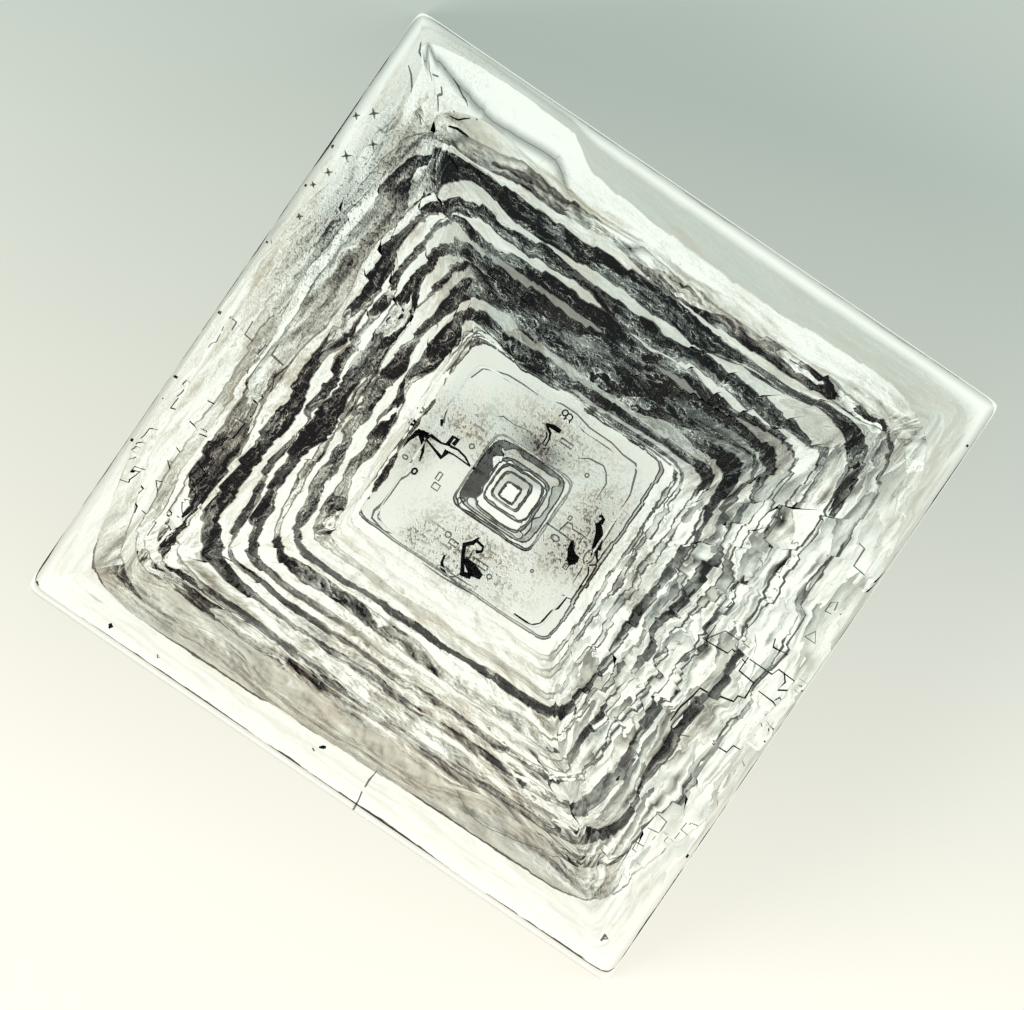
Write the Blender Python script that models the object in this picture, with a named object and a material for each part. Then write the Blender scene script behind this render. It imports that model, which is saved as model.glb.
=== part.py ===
"""Salt crystal: one clear, square hopper crystal of halite that lies on its flat underside.

The crystal is a low square block with a deep square pit in its upper face. The pit goes down in
ledges, each a flat tread and a short steep wall, to a flat plate in the middle, which carries a
few nested rounded squares. At the back left the pit's edge spills out to the crystal's own edge.
It is one closed solid, lofted through closed squarish outlines: up the outer sides, over the rim,
and down the pit ledge by ledge.

Frame: metres, +Z up, origin in the middle of the underside.
"""

from dataclasses import dataclass

import bmesh
import bpy
import numpy as np

MM = 0.001

# ---- driving dimensions, in millimetres ----
WIDTH = 3.25                 # across the underside, edge to edge
HEIGHT = 1.40                # underside to rim
FOOT_CHAMFER = 0.015         # the underside's worn edge, in from the sides and up
BAND_STEP = 0.008            # the growth band on the outer sides steps in by this much
BAND_HEIGHTS = (0.55,)       # where the growth bands' small steps lie
BAND_RISE = 0.02             # height of each of those small steps
RIM_REACH = (1.606, 1.603, 1.569, 1.600)   # rim's outer edge towards -X, +X, -Y and +Y
SPILL_SPAN = (-1.70, -0.72)  # stretch along the back where the pit's edge spills out
SPILL_SOFT = 0.26            # length over which the spill sets in and ends
SPILL_REACH = 0.110          # how much further out the edge is there
TAIL_END = -0.40             # past its end the spill trails off to here
TAIL_SOFT = 0.55
TAIL_REACH = 0.045
OUTER_SQUARENESS = 90.0      # of the outer outlines: the higher, the sharper the corners
RIM_SQUARENESS = 60.0

POINTS_PER_SIDE = 29         # points on each side of every outline
SEED = 7
WAVES = ((5, 0.5, 1, 0.6), (9, 1.0, 2, 1.1))   # cycles a side, drift from ledge to ledge, set, weight
WIDTH_WAVE = (8, 1.0, 8, 0.5)              # the same for the change in a wall's width
FOOT_DRIFT = 0.4                           # part of a ledge by which a wall's foot drifts from its top
SIDE_ROUGHNESS = (1.0, 0.8, 0.6, 1.0)      # the waves' share on the -X, +X, -Y and +Y sides
LEAST_STEP = 0.006           # no outline comes nearer than this to the one outside it

CRYSTAL_COLOUR = (0.93, 0.95, 0.90, 1.0)
CRYSTAL_IOR = 1.544
CRYSTAL_ROUGHNESS = 0.03


@dataclass(frozen=True)
class Ledge:
    """One wall of the pit; the flat tread at its foot runs in to the next wall.

    Reaches and runs are given towards -X, +X, -Y and +Y, in millimetres.
    """

    reach: tuple          # from the middle of the crystal out to the wall's upper edge
    run: tuple            # how far the wall leans in from its top to its foot
    drop: float           # height of the wall
    squareness: float     # the higher, the sharper the corners
    wave: float           # depth of the waves along the wall
    swell: tuple = (0.0, 0.0, 0.0, 0.0)   # how much further out the wall is at mid-side
    lean: tuple = (0.0, 0.0, 0.0, 0.0)    # and at the side's +X or +Y end than at its middle


PIT = (
    Ledge((1.430, 1.440, 1.385, 1.382), (0.070, 0.060, 0.125, 0.080), 0.110, 11.0, 0.010,
          (0.150, 0.155, 0.015, 0.004), (-0.045, 0.040, -0.045, 0.0)),
    Ledge((1.355, 1.385, 1.240, 1.264), (0.045, 0.030, 0.055, 0.068), 0.065, 12.0, 0.018,
          (0.030, 0.020, 0.010, 0.0)),
    Ledge((1.290, 1.255, 1.185, 1.159), (0.125, 0.036, 0.040, 0.082), 0.085, 12.0, 0.015),
    Ledge((1.100, 1.092, 1.070, 1.031), (0.060, 0.032, 0.040, 0.058), 0.075, 14.0, 0.021,
          (0.030, 0.0, 0.0, 0.0)),
    Ledge((0.990, 1.004, 0.994, 0.927), (0.036, 0.022, 0.024, 0.052), 0.060, 15.0, 0.021,
          (0.035, 0.0, 0.0, 0.0)),
    Ledge((0.925, 0.915, 0.938, 0.858), (0.084, 0.030, 0.022, 0.056), 0.070, 15.0, 0.020,
          (0.045, 0.0, 0.0, 0.0)),
    Ledge((0.822, 0.850, 0.868, 0.790), (0.020, 0.018, 0.052, 0.046), 0.045, 16.0, 0.016,
          (0.045, 0.0, 0.0, 0.0)),
    Ledge((0.762, 0.792, 0.764, 0.732), (0.055, 0.030, 0.030, 0.070), 0.075, 17.0, 0.013,
          (0.050, 0.0, 0.0, 0.0), (0.0, 0.0, -0.012, 0.0)),
    Ledge((0.690, 0.705, 0.682, 0.616), (0.075, 0.024, 0.022, 0.048), 0.055, 18.0, 0.009,
          (0.020, 0.0, 0.0, 0.0)),
    Ledge((0.610, 0.622, 0.615, 0.560), (0.012, 0.018, 0.018, 0.012), 0.030, 18.0, 0.006),
    Ledge((0.590, 0.583, 0.545, 0.543), (0.010, 0.012, 0.012, 0.009), 0.020, 18.0, 0.005),
    Ledge((0.562, 0.508, 0.475, 0.529), (0.014, 0.012, 0.010, 0.009), 0.020, 20.0, 0.004),
    # the nested squares in the middle of the plate
    Ledge((0.484, 0.452, 0.455, 0.438), (0.008, 0.008, 0.008, 0.008), 0.010, 14.0, 0.001),
    Ledge((0.230, 0.205, 0.182, 0.220), (0.008, 0.008, 0.010, 0.008), 0.010, 9.0, 0.001),
    Ledge((0.217, 0.180, 0.160, 0.205), (0.058, 0.040, 0.012, 0.024), 0.018, 6.0, 0.001),
    Ledge((0.148, 0.128, 0.140, 0.148), (0.006, 0.012, 0.010, 0.014), 0.012, 5.0, 0.001),
    Ledge((0.126, 0.112, 0.086, 0.124), (0.006, 0.006, 0.010, 0.006), 0.010, 5.0, 0.001),
    Ledge((0.098, 0.056, 0.054, 0.096), (0.006, 0.010, 0.006, 0.006), 0.010, 5.0, 0.001),
    Ledge((0.064, 0.018, 0.036, 0.052), (0.006, 0.006, 0.006, 0.006), 0.008, 6.0, 0.001),
)


def unit_square():
    """Points evenly round the square from -1 to 1, corner points included, anticlockwise."""
    along = np.arange(POINTS_PER_SIDE) / POINTS_PER_SIDE * 2.0 - 1.0
    one = np.ones(POINTS_PER_SIDE)
    across = np.concatenate([along, one, -along, -one])
    up = np.concatenate([-one, along, one, -along])
    return across, up


ACROSS, UP = unit_square()


def by_side(values):
    """Each point's share of four values given for -X, +X, -Y and +Y, weighted by how near
    the point is to the middle of that side."""
    sides = np.clip([-ACROSS, ACROSS, -UP, UP], 0.0, 1.0) ** 6
    return np.tensordot(values, sides, axes=1) / sides.sum(axis=0)


def ripple(cycles, place, wave_set):
    """Smooth random height round an outline, from -1 to 1: random heights stand at equal steps
    round the square and at whole places in the pit, and every point blends those round it."""
    count = 4 * cycles
    turn = np.arange(4 * POINTS_PER_SIDE) / (4 * POINTS_PER_SIDE) * count
    low, part = np.floor(turn).astype(int), turn % 1.0
    part = part * part * (3.0 - 2.0 * part)
    level = int(np.floor(place))
    rows = [
        np.random.default_rng([SEED, wave_set, level + step + 100]).uniform(-1.0, 1.0, count)
        for step in (0, 1)
    ]
    above, below = (row[low % count] * (1 - part) + row[(low + 1) % count] * part for row in rows)
    return above + (below - above) * (place - level)


def waves(place):
    """Height of the waves along a wall at a place in the pit, counted in ledges."""
    height = sum(weight * ripple(cycles, place * drift, pick) for cycles, drift, pick, weight in WAVES)
    return height * by_side(SIDE_ROUGHNESS)


def outline(reach, squareness, swell=(0.0, 0.0, 0.0, 0.0), lean=(0.0, 0.0, 0.0, 0.0), offset=0.0):
    """A rounded square through four reaches: a point of the unit square is drawn in along its
    ray to |x|^n + |y|^n = 1, then stretched to the reach of its side. Swell carries the middle
    of a side further out, lean its one end out and the other in, and offset each point."""
    x0, y0 = np.abs(ACROSS), np.abs(UP)
    inward = (x0 ** squareness + y0 ** squareness) ** (-1.0 / squareness)
    left, right, front, back = reach
    shorter = np.where(x0 > y0, UP, ACROSS)
    out = by_side(swell) * (1.0 - shorter ** 2) + by_side(lean) * shorter + offset
    x = ACROSS * inward * np.where(ACROSS < 0.0, left, right) + np.sign(ACROSS) * out * x0 ** 6
    y = UP * inward * np.where(UP < 0.0, front, back) + np.sign(UP) * out * y0 ** 6
    return np.column_stack([x, y])


def outer_rings():
    """Outlines up the outer sides, from the underside to the rim, with their heights."""
    foot, rim = np.full(4, WIDTH / 2.0), np.array(RIM_REACH)
    rings = [(outline(foot - FOOT_CHAMFER, OUTER_SQUARENESS), 0.0)]
    rings.append((outline(foot, OUTER_SQUARENESS), FOOT_CHAMFER))
    for band, height in enumerate(BAND_HEIGHTS):
        for step, z in ((band, height), (band + 1, height + BAND_RISE)):
            part = z / HEIGHT
            reach = foot + (rim - foot) * part - BAND_STEP * (step - len(BAND_HEIGHTS) * part)
            rings.append((outline(reach, OUTER_SQUARENESS), z))
    rings.append((outline(rim, RIM_SQUARENESS), HEIGHT))
    return rings


def smooth_step(value, middle, length):
    """From 0 to 1 over a length round its middle."""
    part = np.clip((value - middle) / length + 0.5, 0.0, 1.0)
    return part * part * (3.0 - 2.0 * part)


def spill():
    """How far the pit's edge spills out towards the back left corner, with a lower tail."""
    along = ACROSS * WIDTH / 2.0
    start, end = SPILL_SPAN
    rise = smooth_step(along, start, SPILL_SOFT)
    body = SPILL_REACH * (rise - smooth_step(along, end, SPILL_SOFT))
    tail = TAIL_REACH * (rise - smooth_step(along, TAIL_END, TAIL_SOFT))
    return np.clip(UP, 0.0, 1.0) ** 12 * (body + tail)


def pit_rings():
    """Outlines down the pit, two for each ledge: the wall's upper edge and its foot."""
    rings = []
    height = HEIGHT
    cycles, drift, pick, weight = WIDTH_WAVE
    for place, ledge in enumerate(PIT):
        shape = (np.array(ledge.reach), ledge.squareness, ledge.swell, ledge.lean)
        top = ledge.wave * waves(place)
        run = by_side(ledge.run) * (1.0 + weight * ripple(cycles, place * drift, pick))
        foot = 0.5 * (top + ledge.wave * waves(place + FOOT_DRIFT)) - run
        if place == 0:
            top = top + spill()
        rings.append((outline(*shape, top), height))
        height -= ledge.drop
        rings.append((outline(*shape, foot), height))
    return rings


def keep_nested(rings):
    """Each outline kept inside the one before it: neither |x| nor |y| may pass that of the
    outline outside, less a small step that fades away from the leading one of the two."""
    kept, limit = [rings[0]], np.abs(rings[0][0])
    share = np.column_stack([np.abs(ACROSS), np.abs(UP)]) ** 8
    for points, height in rings[1:]:
        span = np.minimum(np.abs(points), limit - LEAST_STEP * share)
        kept.append((np.sign(points) * span, height))
        limit = span
    return kept


def loft(name, rings):
    """A closed mesh through the rings: a flat cap on the first and the last, and a band of
    four-sided faces between each two."""
    bm = bmesh.new()
    loops = [
        [bm.verts.new((x * MM, y * MM, height * MM)) for x, y in points]
        for points, height in rings
    ]
    bm.faces.new(reversed(loops[0]))
    for lower, upper in zip(loops, loops[1:]):
        for i in range(len(lower)):
            j = (i + 1) % len(lower)
            bm.faces.new((lower[i], lower[j], upper[j], upper[i]))
    bm.faces.new(loops[-1])
    mesh = bpy.data.meshes.new(name)
    bm.to_mesh(mesh)
    bm.free()
    return mesh


def halite():
    """Clear salt: plain transmission at halite's own refractive index."""
    material = bpy.data.materials.new("halite")
    material.use_nodes = True
    shader = material.node_tree.nodes["Principled BSDF"]
    shader.inputs["Base Color"].default_value = CRYSTAL_COLOUR
    shader.inputs["Metallic"].default_value = 0.0
    shader.inputs["Roughness"].default_value = CRYSTAL_ROUGHNESS
    shader.inputs["IOR"].default_value = CRYSTAL_IOR
    shader.inputs["Transmission Weight"].default_value = 1.0
    return material


def main():
    for old in list(bpy.data.objects):
        bpy.data.objects.remove(old, do_unlink=True)
    collection = bpy.data.collections.new("salt crystal")
    bpy.context.scene.collection.children.link(collection)
    outer = outer_rings()
    pit = keep_nested([outer[-1], *pit_rings()])[1:]
    mesh = loft("salt_crystal", outer + pit)
    mesh.materials.append(halite())
    crystal = bpy.data.objects.new("salt_crystal", mesh)
    collection.objects.link(crystal)


main()
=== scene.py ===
"""Looks of the salt crystal: a clear square hopper crystal of halite with a deep stepped pit.

The crystal is one lofted surface, far finer than its solid, with a material that is clear salt on
the flat treads, with painted shade where the ledges' walls throw the light aside. Metres, +Z up.
"""
import logging
import math
from dataclasses import dataclass, field
from enum import Enum

import bpy
import numpy as np
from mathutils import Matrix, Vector


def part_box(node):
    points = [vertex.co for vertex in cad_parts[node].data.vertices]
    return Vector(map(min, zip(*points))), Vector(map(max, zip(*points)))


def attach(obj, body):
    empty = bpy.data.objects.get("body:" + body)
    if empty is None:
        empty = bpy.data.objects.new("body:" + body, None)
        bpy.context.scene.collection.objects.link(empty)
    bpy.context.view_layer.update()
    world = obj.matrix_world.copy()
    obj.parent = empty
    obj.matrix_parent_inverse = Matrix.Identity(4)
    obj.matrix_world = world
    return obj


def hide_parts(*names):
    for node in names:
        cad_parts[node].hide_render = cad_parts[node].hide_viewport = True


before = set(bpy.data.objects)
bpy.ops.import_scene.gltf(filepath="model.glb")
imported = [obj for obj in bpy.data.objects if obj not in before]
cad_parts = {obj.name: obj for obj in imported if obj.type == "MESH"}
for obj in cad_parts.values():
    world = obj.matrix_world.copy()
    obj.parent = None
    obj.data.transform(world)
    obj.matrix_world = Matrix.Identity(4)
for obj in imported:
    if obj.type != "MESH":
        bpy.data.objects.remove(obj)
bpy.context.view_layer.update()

NODE = "salt_crystal"
MM = 0.001
LOG = logging.getLogger(NODE)

Pair = tuple[float, float]
Three = tuple[float, float, float]
Four = tuple[float, float, float, float]
Point = tuple[float, float, float]                      # x, y and width
Ring = tuple[np.ndarray, float]                         # an outline's points and its height
Shades = tuple[np.ndarray, np.ndarray, np.ndarray]      # painted shade of the wall and of the tread, and the crease
Socket = bpy.types.NodeSocket

NONE: Four = (0.0, 0.0, 0.0, 0.0)
UM = 1e-6
TINY = 1e-9
SIDE_PULL = 6           # how sharply an outline passes from one side's values to the next's
BACK_PULL = 12          # how sharply the spill ends at the corners of the back
STEP_PULL = 8           # how sharply the least step passes from one side to the next
RIPPLE_KEY = 100        # these keep the keys of random heights above zero and apart
BLOCK_KEY = 300
SPARE_BLOCKS = 8
RIM_LEFT = -1588        # the rim's left side, in micrometres
NICK_END = 2            # widths of a nick, in micrometres
NICK_MIDDLE = 9
NOISE_MIDDLE = 0.5      # noise lies evenly round this
MIX_SOCKETS = {"FLOAT": (2, 3, 0), "VECTOR": (4, 5, 1), "RGBA": (6, 7, 2)}   # A, B and the result


class Ink(Enum):
    """How a mark in the crystal is coloured."""

    DARK = "dark"
    GREY = "grey"


# --------------------------------------------------------------------------- sizes of the ledges


@dataclass(frozen=True)
class Ledge:
    """One wall of the pit with the flat tread at its foot. Fours are for -X, +X, -Y and +Y.

    reach: from the middle of the crystal out to the wall's upper edge, in mm.
    run: how far the wall leans in from its top to its foot, in mm.
    drop: height of the wall, in mm.
    squareness: the higher, the sharper the corners.
    ragged: depth of the waves and teeth along the wall, in mm.
    wall: painted shade on the wall, from 0 (clear) to 1.
    crease: how strongly painted light and shade of creases show on the wall and the tread outside it, from 0
    to 1.
    tread: painted shade on the tread, from 0 to 1.
    swell: how much further out the wall is at mid-side, in mm.
    lean: how much further out it is at the side's +X or +Y end than at its middle, in mm.
    """

    reach: Four
    run: Four
    drop: float
    squareness: float
    ragged: float
    wall: Four
    crease: Four
    tread: Four = NONE
    swell: Four = NONE
    lean: Four = NONE


PIT = (
    Ledge((1.430, 1.440, 1.385, 1.382), (0.070, 0.060, 0.125, 0.080), 0.110, 11.0, 0.010,
          (0.08, 0.09, 0.36, 0.03), (0.35, 0.52, 0.35, 0.30), (0.05, 0.10, 0.32, 0.20),
          (0.150, 0.155, 0.015, 0.004), (-0.045, 0.040, -0.045, 0.0)),
    Ledge((1.355, 1.385, 1.240, 1.264), (0.045, 0.030, 0.055, 0.068), 0.065, 12.0, 0.018,
          (0.24, 0.42, 0.38, 0.52), (0.60, 0.80, 0.60, 0.24), (0.02, 0.20, 0.24, 0.18),
          (0.030, 0.020, 0.010, 0.0)),
    Ledge((1.290, 1.255, 1.185, 1.159), (0.125, 0.036, 0.040, 0.082), 0.085, 12.0, 0.015,
          (0.44, 0.48, 0.50, 0.92), (0.60, 0.90, 0.80, 0.14), (0.05, 0.23, 0.26, 0.25)),
    Ledge((1.100, 1.092, 1.070, 1.031), (0.060, 0.032, 0.040, 0.058), 0.075, 14.0, 0.021,
          (0.88, 0.56, 0.60, 0.92), (0.30, 0.85, 0.70, 0.12), (0.03, 0.18, 0.17, 0.23),
          (0.030, 0.0, 0.0, 0.0)),
    Ledge((0.990, 1.004, 0.994, 0.927), (0.036, 0.022, 0.024, 0.052), 0.060, 15.0, 0.021,
          (0.84, 0.44, 0.62, 0.98), (0.20, 0.85, 0.70, 0.15), (0.04, 0.23, 0.14, 0.56),
          (0.035, 0.0, 0.0, 0.0)),
    Ledge((0.925, 0.915, 0.938, 0.858), (0.084, 0.030, 0.022, 0.056), 0.070, 15.0, 0.020,
          (0.86, 0.60, 0.10, 0.98), (0.20, 0.85, 0.60, 0.50), (0.03, 0.22, 0.13, 0.82),
          (0.045, 0.0, 0.0, 0.0)),
    Ledge((0.822, 0.850, 0.868, 0.790), (0.020, 0.018, 0.052, 0.046), 0.045, 16.0, 0.016,
          (0.66, 0.42, 0.44, 1.00), (0.20, 0.80, 0.60, 0.70), (0.07, 0.18, 0.12, 0.86),
          (0.045, 0.0, 0.0, 0.0)),
    Ledge((0.762, 0.792, 0.764, 0.732), (0.055, 0.030, 0.030, 0.070), 0.075, 17.0, 0.013,
          (0.96, 0.76, 1.20, 1.00), (0.20, 0.75, 0.30, 0.30), (0.07, 0.14, 0.12, 0.46),
          (0.050, 0.0, 0.0, 0.0), (0.0, 0.0, -0.012, 0.0)),
    Ledge((0.690, 0.705, 0.682, 0.616), (0.075, 0.024, 0.022, 0.048), 0.055, 18.0, 0.009,
          (0.76, 0.34, 0.28, 0.98), (0.35, 0.60, 0.30, 0.30), (0.04, 0.12, 0.08, 0.40),
          (0.020, 0.0, 0.0, 0.0)),
    Ledge((0.610, 0.622, 0.615, 0.560), (0.012, 0.018, 0.018, 0.012), 0.030, 18.0, 0.006,
          (0.12, 0.40, 0.10, 0.90), (0.15, 0.45, 0.25, 0.20), (0.02, 0.06, 0.02, 0.24)),
    Ledge((0.590, 0.583, 0.545, 0.543), (0.010, 0.012, 0.012, 0.009), 0.020, 18.0, 0.005,
          (0.10, 0.36, 0.10, 0.80), (0.10, 0.30, 0.20, 0.20), (0.02, 0.05, 0.02, 0.12)),
    Ledge((0.562, 0.508, 0.475, 0.529), (0.014, 0.012, 0.010, 0.009), 0.020, 20.0, 0.004,
          (0.80, 0.34, 0.20, 0.60), (0.10, 0.10, 0.10, 0.10), (0.14, 0.14, 0.08, 0.16)),
    # the nested squares in the middle of the plate
    Ledge((0.484, 0.452, 0.455, 0.438), (0.008, 0.008, 0.008, 0.008), 0.010, 14.0, 0.0006,
          (0.03, 0.05, 0.03, 0.03), NONE, (0.12, 0.13, 0.08, 0.15)),
    Ledge((0.230, 0.205, 0.182, 0.220), (0.008, 0.008, 0.010, 0.008), 0.010, 9.0, 0.001,
          (0.20, 0.20, 0.55, 0.20), (0.2, 0.2, 0.2, 0.2), (0.14, 0.12, 0.05, 0.16)),
    Ledge((0.217, 0.180, 0.160, 0.205), (0.058, 0.040, 0.012, 0.024), 0.018, 6.0, 0.001,
          (0.82, 0.42, 0.34, 0.70), (1.0, 1.0, 1.0, 1.0), (0.06, 0.22, 0.20, 0.28)),
    Ledge((0.148, 0.128, 0.140, 0.148), (0.006, 0.012, 0.010, 0.014), 0.012, 5.0, 0.0006,
          (0.40, 0.55, 0.35, 0.55), (0.2, 0.2, 0.2, 0.2), (0.05, 0.05, 0.02, 0.05)),
    Ledge((0.126, 0.112, 0.086, 0.124), (0.006, 0.006, 0.010, 0.006), 0.010, 5.0, 0.0006,
          (0.45, 0.45, 0.30, 0.62), (0.2, 0.2, 0.2, 0.2), (0.04, 0.04, 0.05, 0.30)),
    Ledge((0.098, 0.056, 0.054, 0.096), (0.006, 0.010, 0.006, 0.006), 0.010, 5.0, 0.0006,
          (0.55, 0.72, 0.20, 0.40), (0.2, 0.2, 0.2, 0.2), (0.20, 0.15, 0.02, 0.36)),
    Ledge((0.064, 0.018, 0.036, 0.052), (0.006, 0.006, 0.006, 0.006), 0.008, 6.0, 0.0006,
          (0.80, 0.75, 0.80, 0.80), NONE, (0.02, 0.02, 0.02, 0.02)),
)


@dataclass(frozen=True)
class Looks:
    """How strongly each pattern shows, from 0 to 1.

    satin: soft folds along the ledges, as painted light and shade.
    facet: pale and grey facets with thin outlines, as painted light and shade.
    crumple: fine crinkles, as painted light and shade.
    speckle: dark specks.
    warm: brown and cream in place of grey-green: painted warm light on the front and left sides, with random
    patches.
    """

    satin: float = 0.0
    facet: float = 0.0
    crumple: float = 0.0
    speckle: float = 0.0
    warm: float = 0.0

    def row(self) -> tuple[float, float, float, float, float]:
        """The five values in the order in which the surface carries them."""
        return self.satin, self.facet, self.crumple, self.speckle, self.warm


@dataclass(frozen=True)
class Patch:
    """An oval stretch of the pit with looks of its own. Sizes in mm.

    place: its middle.
    half: its half width and half height, where it has faded to a third.
    looks: added to the looks there.
    tread: added to the painted shade of the treads there.
    wall: added to the painted shade of the walls there.
    """

    place: tuple[float, float]
    half: tuple[float, float]
    looks: Looks = Looks()
    tread: float = 0.0
    wall: float = 0.0


PATCHES = (
    # fine grey mesh on the upper left ledges
    Patch((-1.42, 0.60), (0.10, 0.60), Looks(crumple=-0.3, speckle=0.55, warm=-0.7), tread=0.24, wall=0.22),
    Patch((-1.24, 0.75), (0.12, 0.62), Looks(crumple=-0.4, speckle=0.55, warm=-0.5), wall=-0.14),
    # broken ground in the four corners
    Patch((-1.25, 1.20), (0.18, 0.16), Looks(facet=0.8, crumple=0.5), tread=0.08),
    Patch((1.22, 1.15), (0.22, 0.22), Looks(facet=0.9, crumple=0.3), tread=0.16, wall=0.15),
    Patch((-1.25, -1.25), (0.20, 0.16), Looks(facet=0.7, crumple=0.5), tread=0.12, wall=0.2),
    Patch((1.25, -1.22), (0.20, 0.12), Looks(satin=0.5, crumple=0.3), tread=0.10, wall=0.25),
    # painted black shade lines turning the lower left corner
    Patch((-0.72, -0.98), (0.46, 0.22), Looks(satin=-0.4), tread=-0.10, wall=0.68),
    # the smooth lobe where the pit spills out, and the brown facets under the cream band
    Patch((-1.15, 1.40), (0.42, 0.13), Looks(satin=-0.4, crumple=-0.9), tread=-0.08, wall=-0.35),
    Patch((-0.05, 1.25), (1.20, 0.06), Looks(satin=0.7, facet=0.2, crumple=-0.6, warm=0.6), wall=-0.04),
    # the plate's speckled fields and the grey shade above its middle
    Patch((0.0, 0.34), (0.22, 0.12), Looks(speckle=0.55, warm=0.4), tread=0.14),
    Patch((-0.02, 0.25), (0.12, 0.05), Looks(speckle=0.3), tread=0.45),
    Patch((-0.34, 0.14), (0.20, 0.12), Looks(speckle=0.6, warm=0.4), tread=0.16),
    Patch((-0.48, -0.06), (0.06, 0.10), Looks(speckle=0.5, warm=0.4), tread=0.25),
    Patch((0.38, 0.10), (0.14, 0.20), Looks(speckle=0.7, warm=0.4), tread=0.22),
    Patch((0.34, -0.10), (0.14, 0.09), Looks(speckle=0.6, warm=0.4), tread=0.16),
    Patch((0.0, -0.34), (0.26, 0.15), Looks(speckle=0.8, warm=0.4), tread=0.18),
    Patch((-0.28, -0.40), (0.05, 0.07), Looks(speckle=0.6), tread=0.14),
)


# --------------------------------------------------------------------------- the crystal's surface


class Skin(Enum):
    """The crystal's materials, in the order in which its mesh holds them."""

    PIT = 0
    SIDE = 1
    FOOT_EDGE = 2


@dataclass(frozen=True)
class Waver:
    """One kind of waves, teeth or battlements along a wall's edge.

    weight: its height as a share of the ledge's own raggedness.
    cycles: how many stand along one side.
    salt: picks its own set of random heights.
    pace: how fast it changes from one ledge to the next.
    """

    weight: float
    cycles: float
    salt: int
    pace: float = 1.0


@dataclass
class Loft:
    """Outlines laid one after another, with what the material reads at each of their points.

    points: x, y and z in mm.
    relief: distance to the nearest edge of a wall in mm, above zero on a wall and below zero on a
    tread, then the painted shade of the wall and the tread there, and how creased.
    falls: how far a nominal outline has come in from the crystal's side, in mm. Lines of equal
        fall run along the ledges and follow their waves.
    """

    points: list[np.ndarray] = field(default_factory=list)
    relief: list[np.ndarray] = field(default_factory=list)
    falls: list[np.ndarray] = field(default_factory=list)

    def add(self, flat: np.ndarray, height: float, edge: np.ndarray | float, shades: Shades,
            fall: np.ndarray) -> None:
        """Lays one more outline.

        Args:
            flat: x and y of its points.
            height: their z.
            edge: their distance to the nearest edge of a wall.
            shades: the painted shade of the wall and the tread there, and how creased.
            fall: how far in the points are.
        """
        count = len(flat)
        self.points.append(np.column_stack([flat, np.full(count, height)]))
        self.relief.append(np.column_stack([np.broadcast_to(edge, count), *shades]))
        self.falls.append(fall)


def smooth(part: np.ndarray) -> np.ndarray:
    """Smoothstep: 3 t^2 - 2 t^3."""
    return part * part * (3.0 - 2.0 * part)


def closed(grid: np.ndarray) -> np.ndarray:
    """A grid whose rows run on to their first value again."""
    return np.concatenate([grid, grid[:, :1]], axis=1)


def face_corners(values: np.ndarray) -> np.ndarray:
    """The values of a closed grid, set on the four corners of each face."""
    return np.stack([values[:-1, :-1], values[:-1, 1:], values[1:, 1:], values[1:, :-1]], axis=2)


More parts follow.
